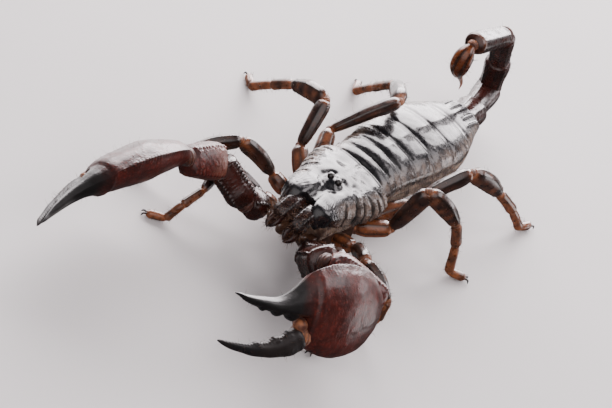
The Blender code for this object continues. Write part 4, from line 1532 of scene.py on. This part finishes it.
@dataclass
class Pincer:
    """One pedipalp: trochanter, femur, patella, broad hand and two toothed fingers."""

    tag: str
    hand: Hand
    elbow: tuple
    overhang: tuple
    root: tuple = (6.2, -33.6, 7.5)
    hip: tuple = (8.1, -37.0, 8.1)
    length: float = 19.0
    reach: float = 32.6
    knuckle: float = -4.6
    droop: float = -4.2
    tip_w: float = 1.4
    rise: float = 0.5
    low: tuple = ((0.2, -2.3), (1.2, -4.8), (3.4, -7.3), (6.5, -8.5), (10.0, -8.8), (13.5, -8.2),
                  (16.5, -7.0), (17.9, -6.2), (18.5, -5.1), (18.9, -1.6), (19.3, -0.85), (20.2, -0.6),
                  (22.0, -0.4), (24.4, -0.1), (27.4, 0.6), (30.2, 1.6), (31.8, 2.5), (32.3, 2.75))
    high: tuple = ((0.2, 2.2), (1.2, 3.8), (3.4, 5.6), (6.5, 7.1), (10.0, 8.2), (13.5, 8.4),
                   (16.5, 8.0), (18.3, 7.4), (20.2, 5.6), (22.0, 3.9), (24.4, 2.7), (27.4, 2.55),
                   (30.2, 2.7), (31.8, 3.0), (32.3, 2.95))
    lens: tuple = low[:7] + ((18.3, -5.9), (20.2, -4.3), (22.0, -2.9), (24.4, -1.3), (27.4, 0.2),
                             (30.2, 1.5), (31.8, 2.45), (32.3, 2.7))
    edge_round: float = 1.2
    bevel: tuple = ((0.0, 0.0), (0.05, 0.17), (0.14, 0.42), (0.28, 0.66), (0.46, 0.84), (0.70, 0.96),
                    (0.86, 0.995), (1.0, 1.0))
    bow: float = 1.1
    slim: float = 1.0
    thick: tuple = ((0.2, 1.4), (1.2, 2.0), (3.4, 2.65), (6.5, 3.25), (10.0, 3.6), (13.5, 3.45),
                    (16.5, 3.1), (18.3, 2.8), (20.2, 2.3), (22.0, 2.0), (24.4, 1.6), (27.4, 1.15),
                    (30.2, 0.7), (31.8, 0.34), (32.3, 0.1))
    offset: tuple = ((0.2, 0.6), (1.2, 0.8), (3.4, 1.1), (6.5, 1.2), (10.0, 1.2), (13.5, 1.0),
                     (16.5, 0.7), (18.3, 0.4), (19.0, 0.0), (32.3, 0.0))
    teeth: tuple = ((21.6, 0.95, 0.75), (24.6, 0.55, 0.55), (27.3, 0.35, 0.4))
    finger_teeth: tuple = ((1.6, 0.35, 0.5), (4.1, 0.45, 0.6), (7.4, 0.3, 0.5))
    finger_wide: float = 2.2
    finger_deep: float = 1.7
    finger_scale: tuple = ((-0.045, 0.45), (-0.03, 0.74), (0.0, 0.94), (0.12, 0.98), (0.4, 0.70),
                           (0.7, 0.46), (0.9, 0.27), (0.98, 0.15), (1.0, 0.06))
    palm_cols: int = 170
    finger_cols: int = 90
    palm_grains: int = 900

    def build(self, shop: Workshop) -> None:
        """Make the whole limb.

        Args:
            shop: makes the pieces.
        """
        sign = self.hand.sign
        root = vec(sign * self.root[0], self.root[1], self.root[2])
        hip = vec(sign * self.hip[0], self.hip[1], self.hip[2])
        elbow, wrist = np.array(self.elbow), np.array(self.hand.wrist)
        self._trochanter(shop, root, hip)
        self._femur(shop, hip, elbow)
        self._patella(shop, elbow, wrist + np.array(self.overhang))
        self._palm(shop)
        self._finger(shop)
        shop.joint(hip, elbow - root, 1.95, 2.2, Palette.ELBOW)
        shop.joint(elbow, wrist - hip, 1.8, 2.2, Palette.ELBOW)
        shop.joint(wrist, self.hand.along + unit(wrist - elbow), 1.7, 2.4, Palette.ELBOW)

    def _segment(self, path: list, shape: tuple, size: tuple, keels: tuple, seed: int,
                 twist: float = 0.0) -> Patch:
        """A boxy length of limb; shape holds (share, side, up) and angle 90 - twist faces up.

        Args:
            path: centre line.
            shape: (share, side, up) stations.
            size: half size along side and up.
            keels: ridges on it.
            seed: seed of the random draws.
            twist: turn of the section in degrees.

        Returns:
            The surface.
        """
        path = np.array(path)
        side = unit(np.cross(UP, path[-1] - path[0]))
        up = unit(np.cross(path[-1] - path[0], side))
        tilt = math.radians(twist)
        side = side * math.cos(tilt) + up * math.sin(tilt)
        wide = tuple((s, a * size[0]) for s, a, _ in shape)
        tall = tuple((s, b * size[1]) for s, _, b in shape)
        return Sleeve(path, side, wide, tall, 2.7, keels, 100, 88, seed=seed).patch()

    def _trochanter(self, shop: Workshop, root: np.ndarray, hip: np.ndarray) -> None:
        """The short knuckle next to the mouth.

        Args:
            shop: makes the pieces.
            root: the end next to the body.
            hip: the second joint.
        """
        keels = (Keel(50.0, 0.25, 0.3, 0.6), Keel(130.0, 0.25, 0.3, 0.6))
        shape = ((0.0, 0.75, 0.75), (0.5, 1.0, 1.0), (0.9, 0.85, 0.85), (1.0, 0.7, 0.7))
        aim = unit(hip - root)
        patch = self._segment([root, 0.5 * (root + hip), hip - 0.3 * aim], shape, (2.8, 2.8), keels, 500)
        patch.pebble(160, None, (501, 0), (0.13, 0.13), 0.5)
        shop.piece(f"pincer_trochanter_{self.tag}", [patch], Palette.BROWN,
                   (f"pincer_{self.tag}_trochanter",))

    def _femur(self, shop: Workshop, hip: np.ndarray, elbow: np.ndarray) -> None:
        """Upper arm: flat top and front between rows of black pegs.

        Args:
            shop: makes the pieces.
            hip: the second joint.
            elbow: the elbow.
        """
        aim = unit(elbow - hip)
        keels = (Keel(45.0, 0.42, 0.26, 0.75, tooth=1.2), Keel(135.0, 0.42, 0.26, 0.75, tooth=1.2),
                 Keel(215.0, 0.3, 0.26, 0.75), Keel(325.0, 0.3, 0.26, 0.75))
        shape = ((0.0, 0.64, 0.64), (0.08, 0.84, 0.82), (0.5, 0.97, 0.95), (0.88, 1.0, 0.97),
                 (0.97, 0.9, 0.88), (1.0, 0.72, 0.72))
        path = [hip + 0.2 * aim, 0.5 * (hip + elbow), elbow - 0.2 * aim]
        patch = self._segment(path, shape, (3.0, 3.0), keels, 510, 36.0)
        patch.pebble(240, None, (511, 512), (0.08, 0.2), 0.5)
        shop.fuzz(patch, 30, 1.2, 513 + self.hand.sign)
        shop.piece(f"pincer_femur_{self.tag}", [patch], Palette.BROWN,
                   (f"pincer_{self.tag}_femur",))

    def _patella(self, shop: Workshop, elbow: np.ndarray, wrist: np.ndarray) -> None:
        """Forearm: a smooth swollen front below a grainy top edge.

        Args:
            shop: makes the pieces.
            elbow: the elbow.
            wrist: the far end.
        """
        aim = unit(wrist - elbow)
        keels = (Keel(48.0, 0.22, 0.3, 0.7), Keel(132.0, 0.22, 0.3, 0.7),
                 Keel(225.0, 0.15, 0.3, 0.7), Keel(315.0, 0.15, 0.3, 0.7))
        shape = ((0.0, 0.60, 0.60), (0.07, 0.84, 0.84), (0.30, 1.03, 1.02), (0.55, 0.95, 0.96),
                 (0.78, 0.82, 0.86), (0.93, 0.72, 0.78), (1.0, 0.54, 0.58))
        path = [elbow + 0.2 * aim, 0.5 * (elbow + wrist), wrist - 0.2 * aim]
        patch = self._segment(path, shape, (3.4, 3.4), keels, 520, 45.0)
        along = np.linspace(0.0, 1.0, patch.points.shape[0])[:, None]
        face = patch.normals() @ unit(self.hand.across - self.hand.along - 0.5 * self.hand.out)
        patch.mark(Mask.WARM_AND_PAINTED_LIGHT, ramp(face, 0.1, 0.7) * ramp(along, 0.60, 0.30))
        top = ramp(patch.normals()[..., 2], -0.2, 0.8) + 0.05
        patch.pebble(200, top, (521, 522), (0.1, 0.22), 0.5)
        shop.fuzz(patch, 34, 1.3, 523 + self.hand.sign)
        shop.piece(f"pincer_patella_{self.tag}", [patch], Palette.RED,
                   (f"pincer_{self.tag}_patella",))

    def _palm(self, shop: Workshop) -> None:
        """The broad hand with its fixed finger, and the socket skin of the moving one.

        Args:
            shop: makes the pieces.
        """
        s = np.concatenate([np.linspace(0.15, 17.8, 120), np.linspace(17.95, 19.6, 26),
                            np.linspace(19.75, 32.3, 110)])
        low, high = eased(self.low, s), eased(self.high, s)
        reach = np.clip(s - self.length, 0.0, None) / (self.reach - self.length)
        narrow = 1.0 - (1.0 - self.slim) * np.clip(4.0 * reach, 0.0, 1.0)
        low = high + (low - high) * narrow
        thick, offset = eased(self.thick, s) * narrow, eased(self.offset, s)
        offset = offset + self.droop * reach ** 1.5
        angle = turn(self.palm_cols)
        cos, sin = np.cos(angle), np.sin(angle)
        half, mid = 0.5 * (high - low), 0.5 * (high + low)
        w = mid[:, None] + half[:, None] * boxed(cos, 0.92)
        lens = eased(self.lens, s)
        place = np.clip((2.0 * w - (high + lens)[:, None]) / (high - lens)[:, None], -1.0, 1.0)
        dome = (1.0 - np.abs(place) ** 1.9) ** (1.0 / 1.8)
        dome = np.where(place > 0.0, eased(self.bevel, 1.0 - place), dome)
        edge = np.clip((w - low[:, None]) / self.edge_round, 0.0, 1.0)
        dome = np.minimum(dome, np.sqrt(1.0 - (1.0 - edge) ** 2))
        out = offset[:, None] + thick[:, None] * dome * np.where(sin > 0.0, 1.06, -0.92)
        points = self.hand.points(s[:, None], w, out)
        if self.hand.sign > 0:
            points = points[:, ::-1]
        patch = Patch(points)
        order = slice(None, None, -1) if self.hand.sign > 0 else slice(None)
        self._dress_palm(patch, s, w[:, order], cos[order], sin[order], half)
        self._socket(shop)
        shop.fuzz(patch, 70, 1.1, 545 + self.hand.sign, thickness=0.03)
        shop.piece(f"hand_{self.tag}", [patch], Palette.RED, (f"pincer_{self.tag}_hand",))

    def _dress_palm(self, patch: Patch, s: np.ndarray, w: np.ndarray, cos: np.ndarray,
                    sin: np.ndarray, half: np.ndarray) -> None:
        """Add the keels, teeth, grains and dark fingertip colour of the hand.

        Args:
            patch: the hand's surface.
            s: place of each ring along the hand.
            w: place of each point across it.
            cos: cosine of each point's angle.
            sin: sine of each point's angle.
            half: half width of each ring.
        """
        palm = ramp(s, 19.5, 16.5)[:, None] * ramp(s, 0.5, 3.0)[:, None]
        outer = ramp(sin, 0.0, 0.35)
        keel_w = np.interp(s, (3.0, 18.0), (-1.0, -4.6))[:, None]
        second = np.interp(s, (3.0, 19.0, 24.0), (1.6, 2.6, 1.9))[:, None]
        wobble = 0.25 * np.sin(s * 1.9)[:, None]
        digital = bell(w - keel_w - wobble, 0.4) * outer * palm
        minor = bell(w - second, 0.5) * outer * ramp(s, 4.0, 8.0)[:, None] * ramp(s, 25.0, 20.0)[:, None]
        rim_out = bell((cos + 1.0) * half[:, None], 0.45) * palm
        rim_in = bell((cos - 1.0) * half[:, None], 0.4) * palm
        beads = np.abs(np.sin(math.pi * s / 0.62))[:, None]
        height = digital * (0.05 + 0.03 * beads) + minor * (0.04 + 0.02 * beads)
        height += rim_out * (0.05 + 0.08 * beads) + rim_in * (0.08 + 0.05 * beads)
        patch.mark(Mask.KEEL, 0.25 * digital + 0.6 * rim_out + 0.6 * rim_in)
        finger = ramp(s, 19.4, 20.6)[:, None]
        edge = bell((cos + 1.0) * half[:, None], 0.32) * finger * ramp(s, 32.0, 30.5)[:, None]
        teeth = 0.06 + 0.10 * np.abs(np.sin(math.pi * s / 0.5))[:, None]
        for place, size, wide in self.teeth:
            teeth = teeth + size * bell(s - place, wide)[:, None]
        height += edge * teeth
        ridge = bell(sin - 0.95, 0.25) * finger
        height += 0.10 * ridge * ramp(s, 31.0, 28.0)[:, None]
        height += palm * (0.06 * waves(patch.points, 4.0, 530) + 0.015 * waves(patch.points, 1.2, 531))
        patch.lift(height)
        weight = palm * (0.35 + ramp(-cos, 0.2, 0.9) + 0.8 * ramp(cos, 0.6, 1.0)) * np.ones_like(w)
        patch.pebble(self.palm_grains, weight, (540, 541), (0.08, 0.17), 0.42)
        patch.mark(Mask.TIP, ramp(s[:, None] + 0.5 * waves(patch.points, 2.0, 542), 18.0, 21.4))

    def _socket(self, shop: Workshop) -> None:
        """The orange skin that the moving finger swings on.

        Args:
            shop: makes the pieces.
        """
        centre = self.hand.points(np.array(18.5), np.array(self.knuckle + 0.45), np.array(0.35))
        shop.joint(centre, self.hand.along, 2.15, 2.4, Palette.JOINT)
        web = self.hand.points(np.array(19.3), np.array(self.knuckle + 2.3), np.array(0.5))
        shop.skins[Palette.JOINT.name].append(bead(web, 1.35, 30, 22))

    def _finger(self, shop: Workshop) -> None:
        """The outer finger, turned about its knuckle.

        Args:
            shop: makes the pieces.
        """
        hand = self.hand
        swing = math.radians(hand.opening)
        share = np.concatenate([np.linspace(-0.045, 0.1, 22), np.linspace(0.11, 1.0, 110)])
        scale = eased(self.finger_scale, share) * self.slim
        run = (self.reach - self.length) * share
        sway = (self.tip_w - self.knuckle) * np.clip(share, 0.0, None) ** 1.4
        s = self.length + run * math.cos(swing) + sway * math.sin(swing)
        w = self.knuckle - run * math.sin(swing) + sway * math.cos(swing)
        w = w - self.bow * np.sin(math.pi * np.clip(share, 0.0, 1.0))
        n = self.droop * np.clip(share, 0.0, None) ** 1.5 + self.rise * (1.0 - share)
        side = hand.across * math.cos(swing) + hand.along * math.sin(swing)
        angle = turn(self.finger_cols) * -hand.sign
        cos, sin = np.cos(angle), np.sin(angle)
        half = self.finger_wide * scale[:, None]
        points = (hand.points(s, w, n)[:, None] + side * (half * cos)[..., None]
                  + hand.out * (self.finger_deep * scale[:, None] * sin)[..., None])
        patch = Patch(points)
        on = (ramp(share, 0.06, 0.14) * ramp(share, 1.0, 0.9))[:, None]
        inner = bell((cos - 1.0) * half, 0.30) * on
        teeth = 0.05 + 0.08 * np.abs(np.sin(math.pi * run / 0.5))[:, None]
        for place, size, wide in self.finger_teeth:
            teeth = teeth + size * bell(run - place, wide)[:, None]
        back = bell((cos + 1.0) * half, 0.4) * on
        ridge = bell(sin - 0.9, 0.25) * on
        patch.lift(inner * teeth + 0.16 * back + 0.12 * ridge + 0.04 * waves(points, 2.0, 550))
        weight = ramp(share, 0.5, 0.05)[:, None] * np.ones_like(cos) * ramp(-cos, -0.4, 0.6)
        patch.pebble(130, weight, (551, 552), (0.08, 0.2), 0.45)
        shop.fuzz(patch, 60, 1.2, 553 + hand.sign)
        shop.piece(f"moving_finger_{self.tag}", [patch], Palette.FINGER,
                   (f"pincer_{self.tag}_finger",))


# ---- legs

@dataclass
class Leg:
    """One walking leg: trochanter, femur, patella, tibia, two foot joints and two claws.

    knee, shin and ankle are joints, heading is the direction of the foot in degrees from -Y
    towards the leg's own side, and bow pushes the joint between shin and ankle out.
    """

    tag: str
    pair: int
    sign: int
    knee: tuple
    shin: tuple
    ankle: tuple
    heading: float
    bow: tuple
    roots: tuple = LEG_ROOTS
    hips: tuple = ((8.4, -30.8, 6.6), (10.5, -25.2, 7.5), (12.0, -14.6, 8.3), (10.9, -6.8, 9.9))
    scales: tuple = (0.80, 0.88, 1.0, 1.05)
    stout: tuple = (1.16, 1.08, 1.02, 1.0)
    toe_length: float = 3.7
    toe_drop: float = 0.42
    ankle_z: float = 1.12
    claw: float = 0.95
    shapes: tuple = (
        ((0.0, 0.72), (0.35, 1.02), (0.7, 0.98), (0.93, 0.78), (1.0, 0.55)),
        ((0.0, 0.46), (0.08, 0.64), (0.35, 0.90), (0.65, 1.0), (0.90, 0.96), (0.97, 0.84), (1.0, 0.66)),
        ((0.0, 0.58), (0.05, 0.78), (0.28, 1.02), (0.52, 1.0), (0.82, 0.74), (0.97, 0.56), (1.0, 0.46)),
        ((0.0, 0.64), (0.10, 0.80), (0.5, 0.80), (0.92, 0.86), (1.0, 0.72)),
        ((0.0, 0.76), (0.15, 0.86), (0.6, 0.90), (0.93, 1.0), (1.0, 0.80)),
        ((0.0, 0.76), (0.2, 0.92), (0.6, 1.0), (0.9, 0.85), (1.0, 0.5)))
    sizes: tuple = ((1.7, 1.75), (1.38, 1.8), (1.42, 1.78), (1.06, 1.22), (0.90, 1.0), (0.82, 0.90))
    gaps: tuple = (0.05, 0.1, 0.1, 0.08, 0.08, 0.08)
    arches: tuple = (0.0, 0.5, 0.55, 0.1, 0.05, 0.05)
    warmth: tuple = (0.75, 0.0, 0.12, 0.50, 0.75, 0.9)
    sock_radii: tuple = (1.30, 0.86, 0.86, 0.76, 0.70, 0.60)
    sock_lengths: tuple = (1.6, 1.5, 1.7, 1.2, 1.0, 0.8)
    upper_hairs: int = 26
    lower_hairs: tuple = (46, 40, 34)

    def build(self, shop: Workshop) -> None:
        """Make the leg as three pieces in place of its three solids.

        Args:
            shop: makes the pieces.
        """
        s = self.scales[self.pair - 1]
        root, hip = (np.array(p[self.pair - 1]) * vec(self.sign, 1.0, 1.0) for p in (self.roots, self.hips))
        knee, shin = np.array(self.knee), np.array(self.shin)
        ankle = vec(self.ankle[0], self.ankle[1], self.ankle_z * s)
        heading = math.radians(self.heading)
        way = vec(self.sign * math.sin(heading), -math.cos(heading), 0.0)
        toe = ankle + way * self.toe_length + vec(0.0, 0.0, -self.toe_drop * s)
        instep = shin + 0.49 * (ankle - shin) + np.array(self.bow) * vec(self.sign, 1.0, 1.0)
        self.side = unit(np.cross(UP, unit(toe - hip)))
        self.scale, self.seed = s, 600 + 20 * self.pair + (10 if self.sign > 0 else 0)
        joints = (root, hip, knee, shin, instep, ankle, toe)
        lengths = [self._length(kind, *ends) for kind, ends in enumerate(zip(joints, joints[1:]))]
        trochanter, femur, patella, *foot = lengths
        claws = [self._claw(toe, way, edge) for edge in (-1.0, 1.0)]
        which = f"{self.tag}_{self.pair}"
        for name, node, patches in (("thigh", "thigh", [trochanter, femur]),
                                    ("leg_patella", "patella", [patella]),
                                    ("foot", "foot", [*foot, *claws])):
            shop.piece(f"{name}_{which}", patches, Palette.AMBER, (f"leg_{which}_{node}",))
        self._socks(shop, joints)
        self._hairs(shop, (femur, patella), foot, way)

    def _length(self, kind: int, near: np.ndarray, far: np.ndarray) -> Patch:
        """One length of the leg.

        Args:
            kind: 0 for the trochanter, up to 5 for the tarsus.
            near: the inner joint.
            far: the outer joint.

        Returns:
            The surface.
        """
        aim, gap = unit(far - near), self.gaps[kind]
        middle = 0.5 * (near + far) + vec(0.0, 0.0, self.arches[kind])
        path = np.array([near + aim * gap, middle, far - aim * gap])
        keels = ()
        if kind == 0:
            keels = (Keel(60.0, 0.10, 0.3), Keel(120.0, 0.10, 0.3), Keel(0.0, -0.10, 0.3),
                     Keel(180.0, -0.10, 0.3))
        if kind in (1, 2):
            keels = (Keel(90.0, 0.14, 0.24, 0.45), Keel(42.0, 0.08, 0.34), Keel(138.0, 0.08, 0.34),
                     Keel(245.0, 0.14, 0.28, 0.4), Keel(295.0, 0.14, 0.28, 0.4))
        if kind == 3:
            keels = (Keel(90.0, 0.08, 0.2), Keel(270.0, 0.08, 0.2))
        scale = self.scale * (self.stout[self.pair - 1] if kind > 2 else 1.0)
        wide, tall = (tuple((share, a * size * scale) for share, a in self.shapes[kind])
                      for size in self.sizes[kind])
        patch = Sleeve(path, self.side, wide, tall, 2.05, keels, 64 if kind else 40, 48, swell=0.03,
                       seed=self.seed + kind).patch()
        patch.points[..., 2] = np.maximum(patch.points[..., 2], 0.0)
        along = np.linspace(0.0, 1.0, patch.points.shape[0])[:, None]
        patchy = 0.22 * waves(patch.points, 1.6, self.seed + 7 + kind)
        # Painted glow: downward faces are paler amber, as if lit through the thin horn.
        under = 0.30 * ramp(-patch.normals()[..., 2], -0.2, 0.8)
        ends = 0.75 * bell(along, 0.09) + 0.75 * bell(1.0 - along, 0.09)
        patch.mark(Mask.WARM_AND_PAINTED_LIGHT, self.warmth[kind] + patchy + under + ends)
        return patch

    def _claw(self, toe: np.ndarray, way: np.ndarray, edge: float) -> Patch:
        """One of the two hooked claws, resting its point on the floor.

        Args:
            toe: end of the foot.
            way: way that the foot points.
            edge: -1 or 1, for either side of the foot.

        Returns:
            The claw.
        """
        out = np.cross(UP, way) * edge
        start = toe - way * 0.25 + out * 0.2 * self.scale + vec(0.0, 0.0, 0.12)
        end = toe + way * self.claw * 0.9 + out * 0.75 * self.scale
        end[2] = 0.08
        middle = 0.5 * (start + end) + way * 0.15 + vec(0.0, 0.0, 0.42 * self.scale)
        shape = ((0.0, 0.24), (0.5, 0.19), (0.9, 0.09), (1.0, 0.02))
        claw = Sleeve(np.array([start, middle, end]), self.side, shape, shape, 2.0, (), 20, 12,
                      swell=0.0, seed=1).patch()
        claw.points[..., 2] = np.maximum(claw.points[..., 2], 0.0)
        claw.mark(Mask.TIP, np.repeat(np.linspace(0.3, 1.0, 20)[:, None], 12, axis=1))
        return claw

    def _socks(self, shop: Workshop, joints: tuple) -> None:
        """Orange skin at every joint.

        Args:
            shop: makes the pieces.
            joints: all seven joints from the body out.
        """
        radii, lengths = self.sock_radii, self.sock_lengths
        ends = zip(joints, joints[1:], joints[2:])
        for (near, joint, far), radius, length in zip(ends, radii[1:], lengths[1:]):
            aim = unit(joint - near) + unit(far - joint)
            shop.joint(joint, aim, radius * self.scale, length, Palette.JOINT)
        shop.joint(joints[0], joints[1] - joints[0], radii[0] * self.scale, lengths[0], Palette.JOINT)

    def _hairs(self, shop: Workshop, upper: tuple, lower: list, way: np.ndarray) -> None:
        """Sparse bristles above, thicker rows of spines on the foot.

        Args:
            shop: makes the pieces.
            upper: femur and patella.
            lower: the three lengths below.
            way: way that the foot points.
        """
        for k, patch in enumerate(upper):
            shop.fuzz(patch, self.upper_hairs, 1.1 * self.scale, self.seed + 30 + k)
        for k, (patch, count) in enumerate(zip(lower, self.lower_hairs)):
            weight = 0.4 + ramp(-patch.normals()[..., 2], -0.2, 0.8)
            shop.fuzz(patch, count, 1.0 * self.scale, self.seed + 40 + k, weight, 0.04, 0.5 * way)


# ---- studio and main

@dataclass
class Studio:
    """Plain floor, soft lights and the camera: places in metres in the frame, the lens in millimetres."""

    azimuth: float = 15.94
    elevation: float = 39.15
    roll: float = 32.14
    distance: float = 0.37344
    lens: float = 113.91
    sensor: float = 36.0
    target: tuple = (-0.000741, 0.001155, 0.0)
    sky: float = 0.30
    tint: tuple = (1.0, 0.93, 0.955)
    gloss_sky: float = 0.06
    glows: tuple = (((-0.55, 0.80, 0.06), 0.58, 0.97, 2.9), ((0.74, 0.66, -0.17), 0.945, 0.99, 2.4),
                    ((0.15, -0.75, 0.65), 0.66, 0.98, 1.2))
    boxes: tuple = (("key", (-0.22, 0.48, 0.27), (0.62, 0.52), 12.5, True),
                    ("side", (-0.50, 0.16, 0.20), (0.34, 0.36), 3.0, True),
                    ("rim", (0.38, 0.55, 0.18), (0.26, 0.18), 0.7, True),
                    ("high", (0.26, 0.20, 0.42), (0.34, 0.26), 1.1, True),
                    ("fill", (0.30, -0.35, 0.45), (0.30, 0.30), 2.0, False))
    aim_z: float = 0.01
    floor_size: float = 6.0

    def build(self, palette: Palette) -> None:
        """Make everything that isn't the animal.

        Args:
            palette: the finishes.
        """
        self._floor(palette)
        self._world()
        for box in self.boxes:
            self._softbox(*box)
        self._camera()

    def _floor(self, palette: Palette) -> None:
        """A wide plain floor.

        Args:
            palette: the finishes.
        """
        bpy.ops.mesh.primitive_plane_add(size=self.floor_size, location=(0.0, 0.0, 0.0))
        floor = bpy.context.object
        floor.name = "studio_floor"
        floor.data.materials.append(palette.get(Palette.FLOOR))
        floor.visible_glossy = False

    def _world(self) -> None:
        """A pale even sky; the horn's gloss sees a dim sky with three soft glows instead."""
        world = bpy.data.worlds.new("studio_sky")
        world.use_nodes = True
        nodes, links = world.node_tree.nodes, world.node_tree.links
        sky = nodes["Background"]
        sky.inputs["Color"].default_value = (0.93, 0.95, 1.0, 1.0)
        sky.inputs["Strength"].default_value = self.sky
        flag = nodes.new("ShaderNodeBackground")
        flag.inputs["Color"].default_value = (1.0, 0.94, 0.95, 1.0)
        way, total = nodes.new("ShaderNodeTexCoord"), None
        for direction, start, full, strength in self.glows:
            dot, glow = nodes.new("ShaderNodeVectorMath"), nodes.new("ShaderNodeMapRange")
            dot.operation = "DOT_PRODUCT"
            dot.inputs[1].default_value = Vector(direction).normalized()
            glow.interpolation_type = "SMOOTHSTEP"
            for key, value in (("From Min", start), ("From Max", full), ("To Max", strength)):
                glow.inputs[key].default_value = value
            links.new(way.outputs["Generated"], dot.inputs[0])
            links.new(dot.outputs["Value"], glow.inputs["Value"])
            both = nodes.new("ShaderNodeMath")
            both.inputs[0].default_value = self.gloss_sky
            links.new(glow.outputs[0], both.inputs[1])
            if total:
                links.new(total, both.inputs[0])
            total = both.outputs[0]
        links.new(total, flag.inputs["Strength"])
        ray, mix = nodes.new("ShaderNodeLightPath"), nodes.new("ShaderNodeMixShader")
        links.new(ray.outputs["Is Glossy Ray"], mix.inputs[0])
        links.new(sky.outputs[0], mix.inputs[1])
        links.new(flag.outputs[0], mix.inputs[2])
        links.new(mix.outputs[0], nodes["World Output"].inputs[0])
        bpy.context.scene.world = world

    def _softbox(self, name: str, place: tuple, size: tuple, power: float, mirrored: bool) -> None:
        """A rectangular soft light that faces the animal.

        Args:
            name: the name.
            place: where it stands.
            size: width and height.
            power: watts.
            mirrored: whether the horn reflects it.
        """
        light = bpy.data.lights.new(name, "AREA")
        light.shape = "RECTANGLE"
        light.size, light.size_y = size
        light.energy = power
        light.color = self.tint
        made = bpy.data.objects.new(name, light)
        made.location = place
        made.visible_camera = False
        made.visible_glossy = mirrored
        way = Vector((0.0, 0.0, self.aim_z)) - Vector(place)
        made.rotation_euler = way.to_track_quat("-Z", "Y").to_euler()
        bpy.context.scene.collection.objects.link(made)

    def _camera(self) -> None:
        """The camera, rolled about its view."""
        a, e, r = (math.radians(v) for v in (self.azimuth, self.elevation, self.roll))
        back = Vector((math.sin(a) * math.cos(e), -math.cos(a) * math.cos(e), math.sin(e)))
        right = Vector((math.cos(a), math.sin(a), 0.0))
        up = back.cross(right)
        x_axis = right * math.cos(r) + up * math.sin(r)
        y_axis = up * math.cos(r) - right * math.sin(r)
        data = bpy.data.cameras.new("camera")
        data.lens, data.sensor_width, data.clip_start = self.lens, self.sensor, 0.01
        camera = bpy.data.objects.new("camera", data)
        matrix = Matrix((x_axis, y_axis, back)).transposed().to_4x4()
        matrix.translation = Vector(self.target) + back * self.distance
        camera.matrix_world = matrix
        bpy.context.scene.collection.objects.link(camera)
        bpy.context.scene.camera = camera


def pincers() -> list:
    """Both pincers in their raised pose.

    Returns:
        The right one and the left one.
    """
    right = Hand((-18.3, -48.1, 16.5), -17.1, -8.2, 58.7, -1, 0.0)
    left = Hand((22.6, -39.6, 13.5), 17.4, 10.1, 61.4, 1, 27.6)
    return [Pincer("right", right, (-15.8, -39.4, 13.3), (0.0, 0.0, -1.0), knuckle=-4.0, bow=0.3,
                   slim=0.82),
            Pincer("left", left, (12.2, -43.6, 16.2), (0.7, 1.8, 0.2))]


def legs() -> list:
    """All eight legs in their resting places.

    Returns:
        The legs, right side first.
    """
    places = (
        ("right", 1, (-16.8, -33.6, 8.4), (-15.0, -41.3, 6.9), (-16.6, -46.9), 55.0, (-0.2, -1.2, 0.8)),
        ("right", 2, (-17.2, -29.8, 12.5), (-22.8, -36.6, 8.2), (-27.8, -42.8), 14.0, (0.0, 0.0, 0.4)),
        ("right", 3, (-13.9, -9.4, 16.8), (-22.5, -5.6, 11.4), (-31.2, -2.0), 135.0, (0.0, 0.0, 0.2)),
        ("right", 4, (-4.9, 3.5, 18.6), (-10.5, 13.3, 13.7), (-18.7, 20.0), 158.0, (0.0, 0.0, 0.2)),
        ("left", 1, (12.5, -35.5, 12.5), (18.0, -39.0, 8.0), (18.5, -42.5), 14.0, (0.6, -0.6, 0.4)),
        ("left", 2, (15.4, -31.0, 12.0), (23.0, -32.3, 9.8), (22.0, -33.2), 10.0, (1.0, 0.0, 0.0)),
        ("left", 3, (13.7, -12.8, 19.4), (20.4, -7.2, 13.7), (23.8, -3.6), 128.0, (0.0, 0.8, 0.4)),
        ("left", 4, (15.3, 1.9, 18.4), (20.2, 11.7, 12.0), (25.6, 22.3), 165.0, (0.5, 0.2, 0.3)))
    sides = dict(SIDES)
    return [Leg(tag, pair, sides[tag], *place) for tag, pair, *place in places]


def main() -> None:
    """Build the animal part by part, then the studio."""
    logging.basicConfig(level=logging.INFO, format="%(name)s: %(message)s")
    shop, trunk = Workshop(), Trunk()
    parts = [Carapace(trunk), BackPlates(trunk), FlankSkin(trunk), BellyPlates(trunk), UnderHead(trunk),
             Jaws(), Tail(), *pincers(), *legs()]
    for part in parts:
        part.build(shop)
        log.info("built %s", type(part).__name__)
    shop.finish_soft()
    Studio().build(shop.palette)


if __name__ == "__main__":
    main()
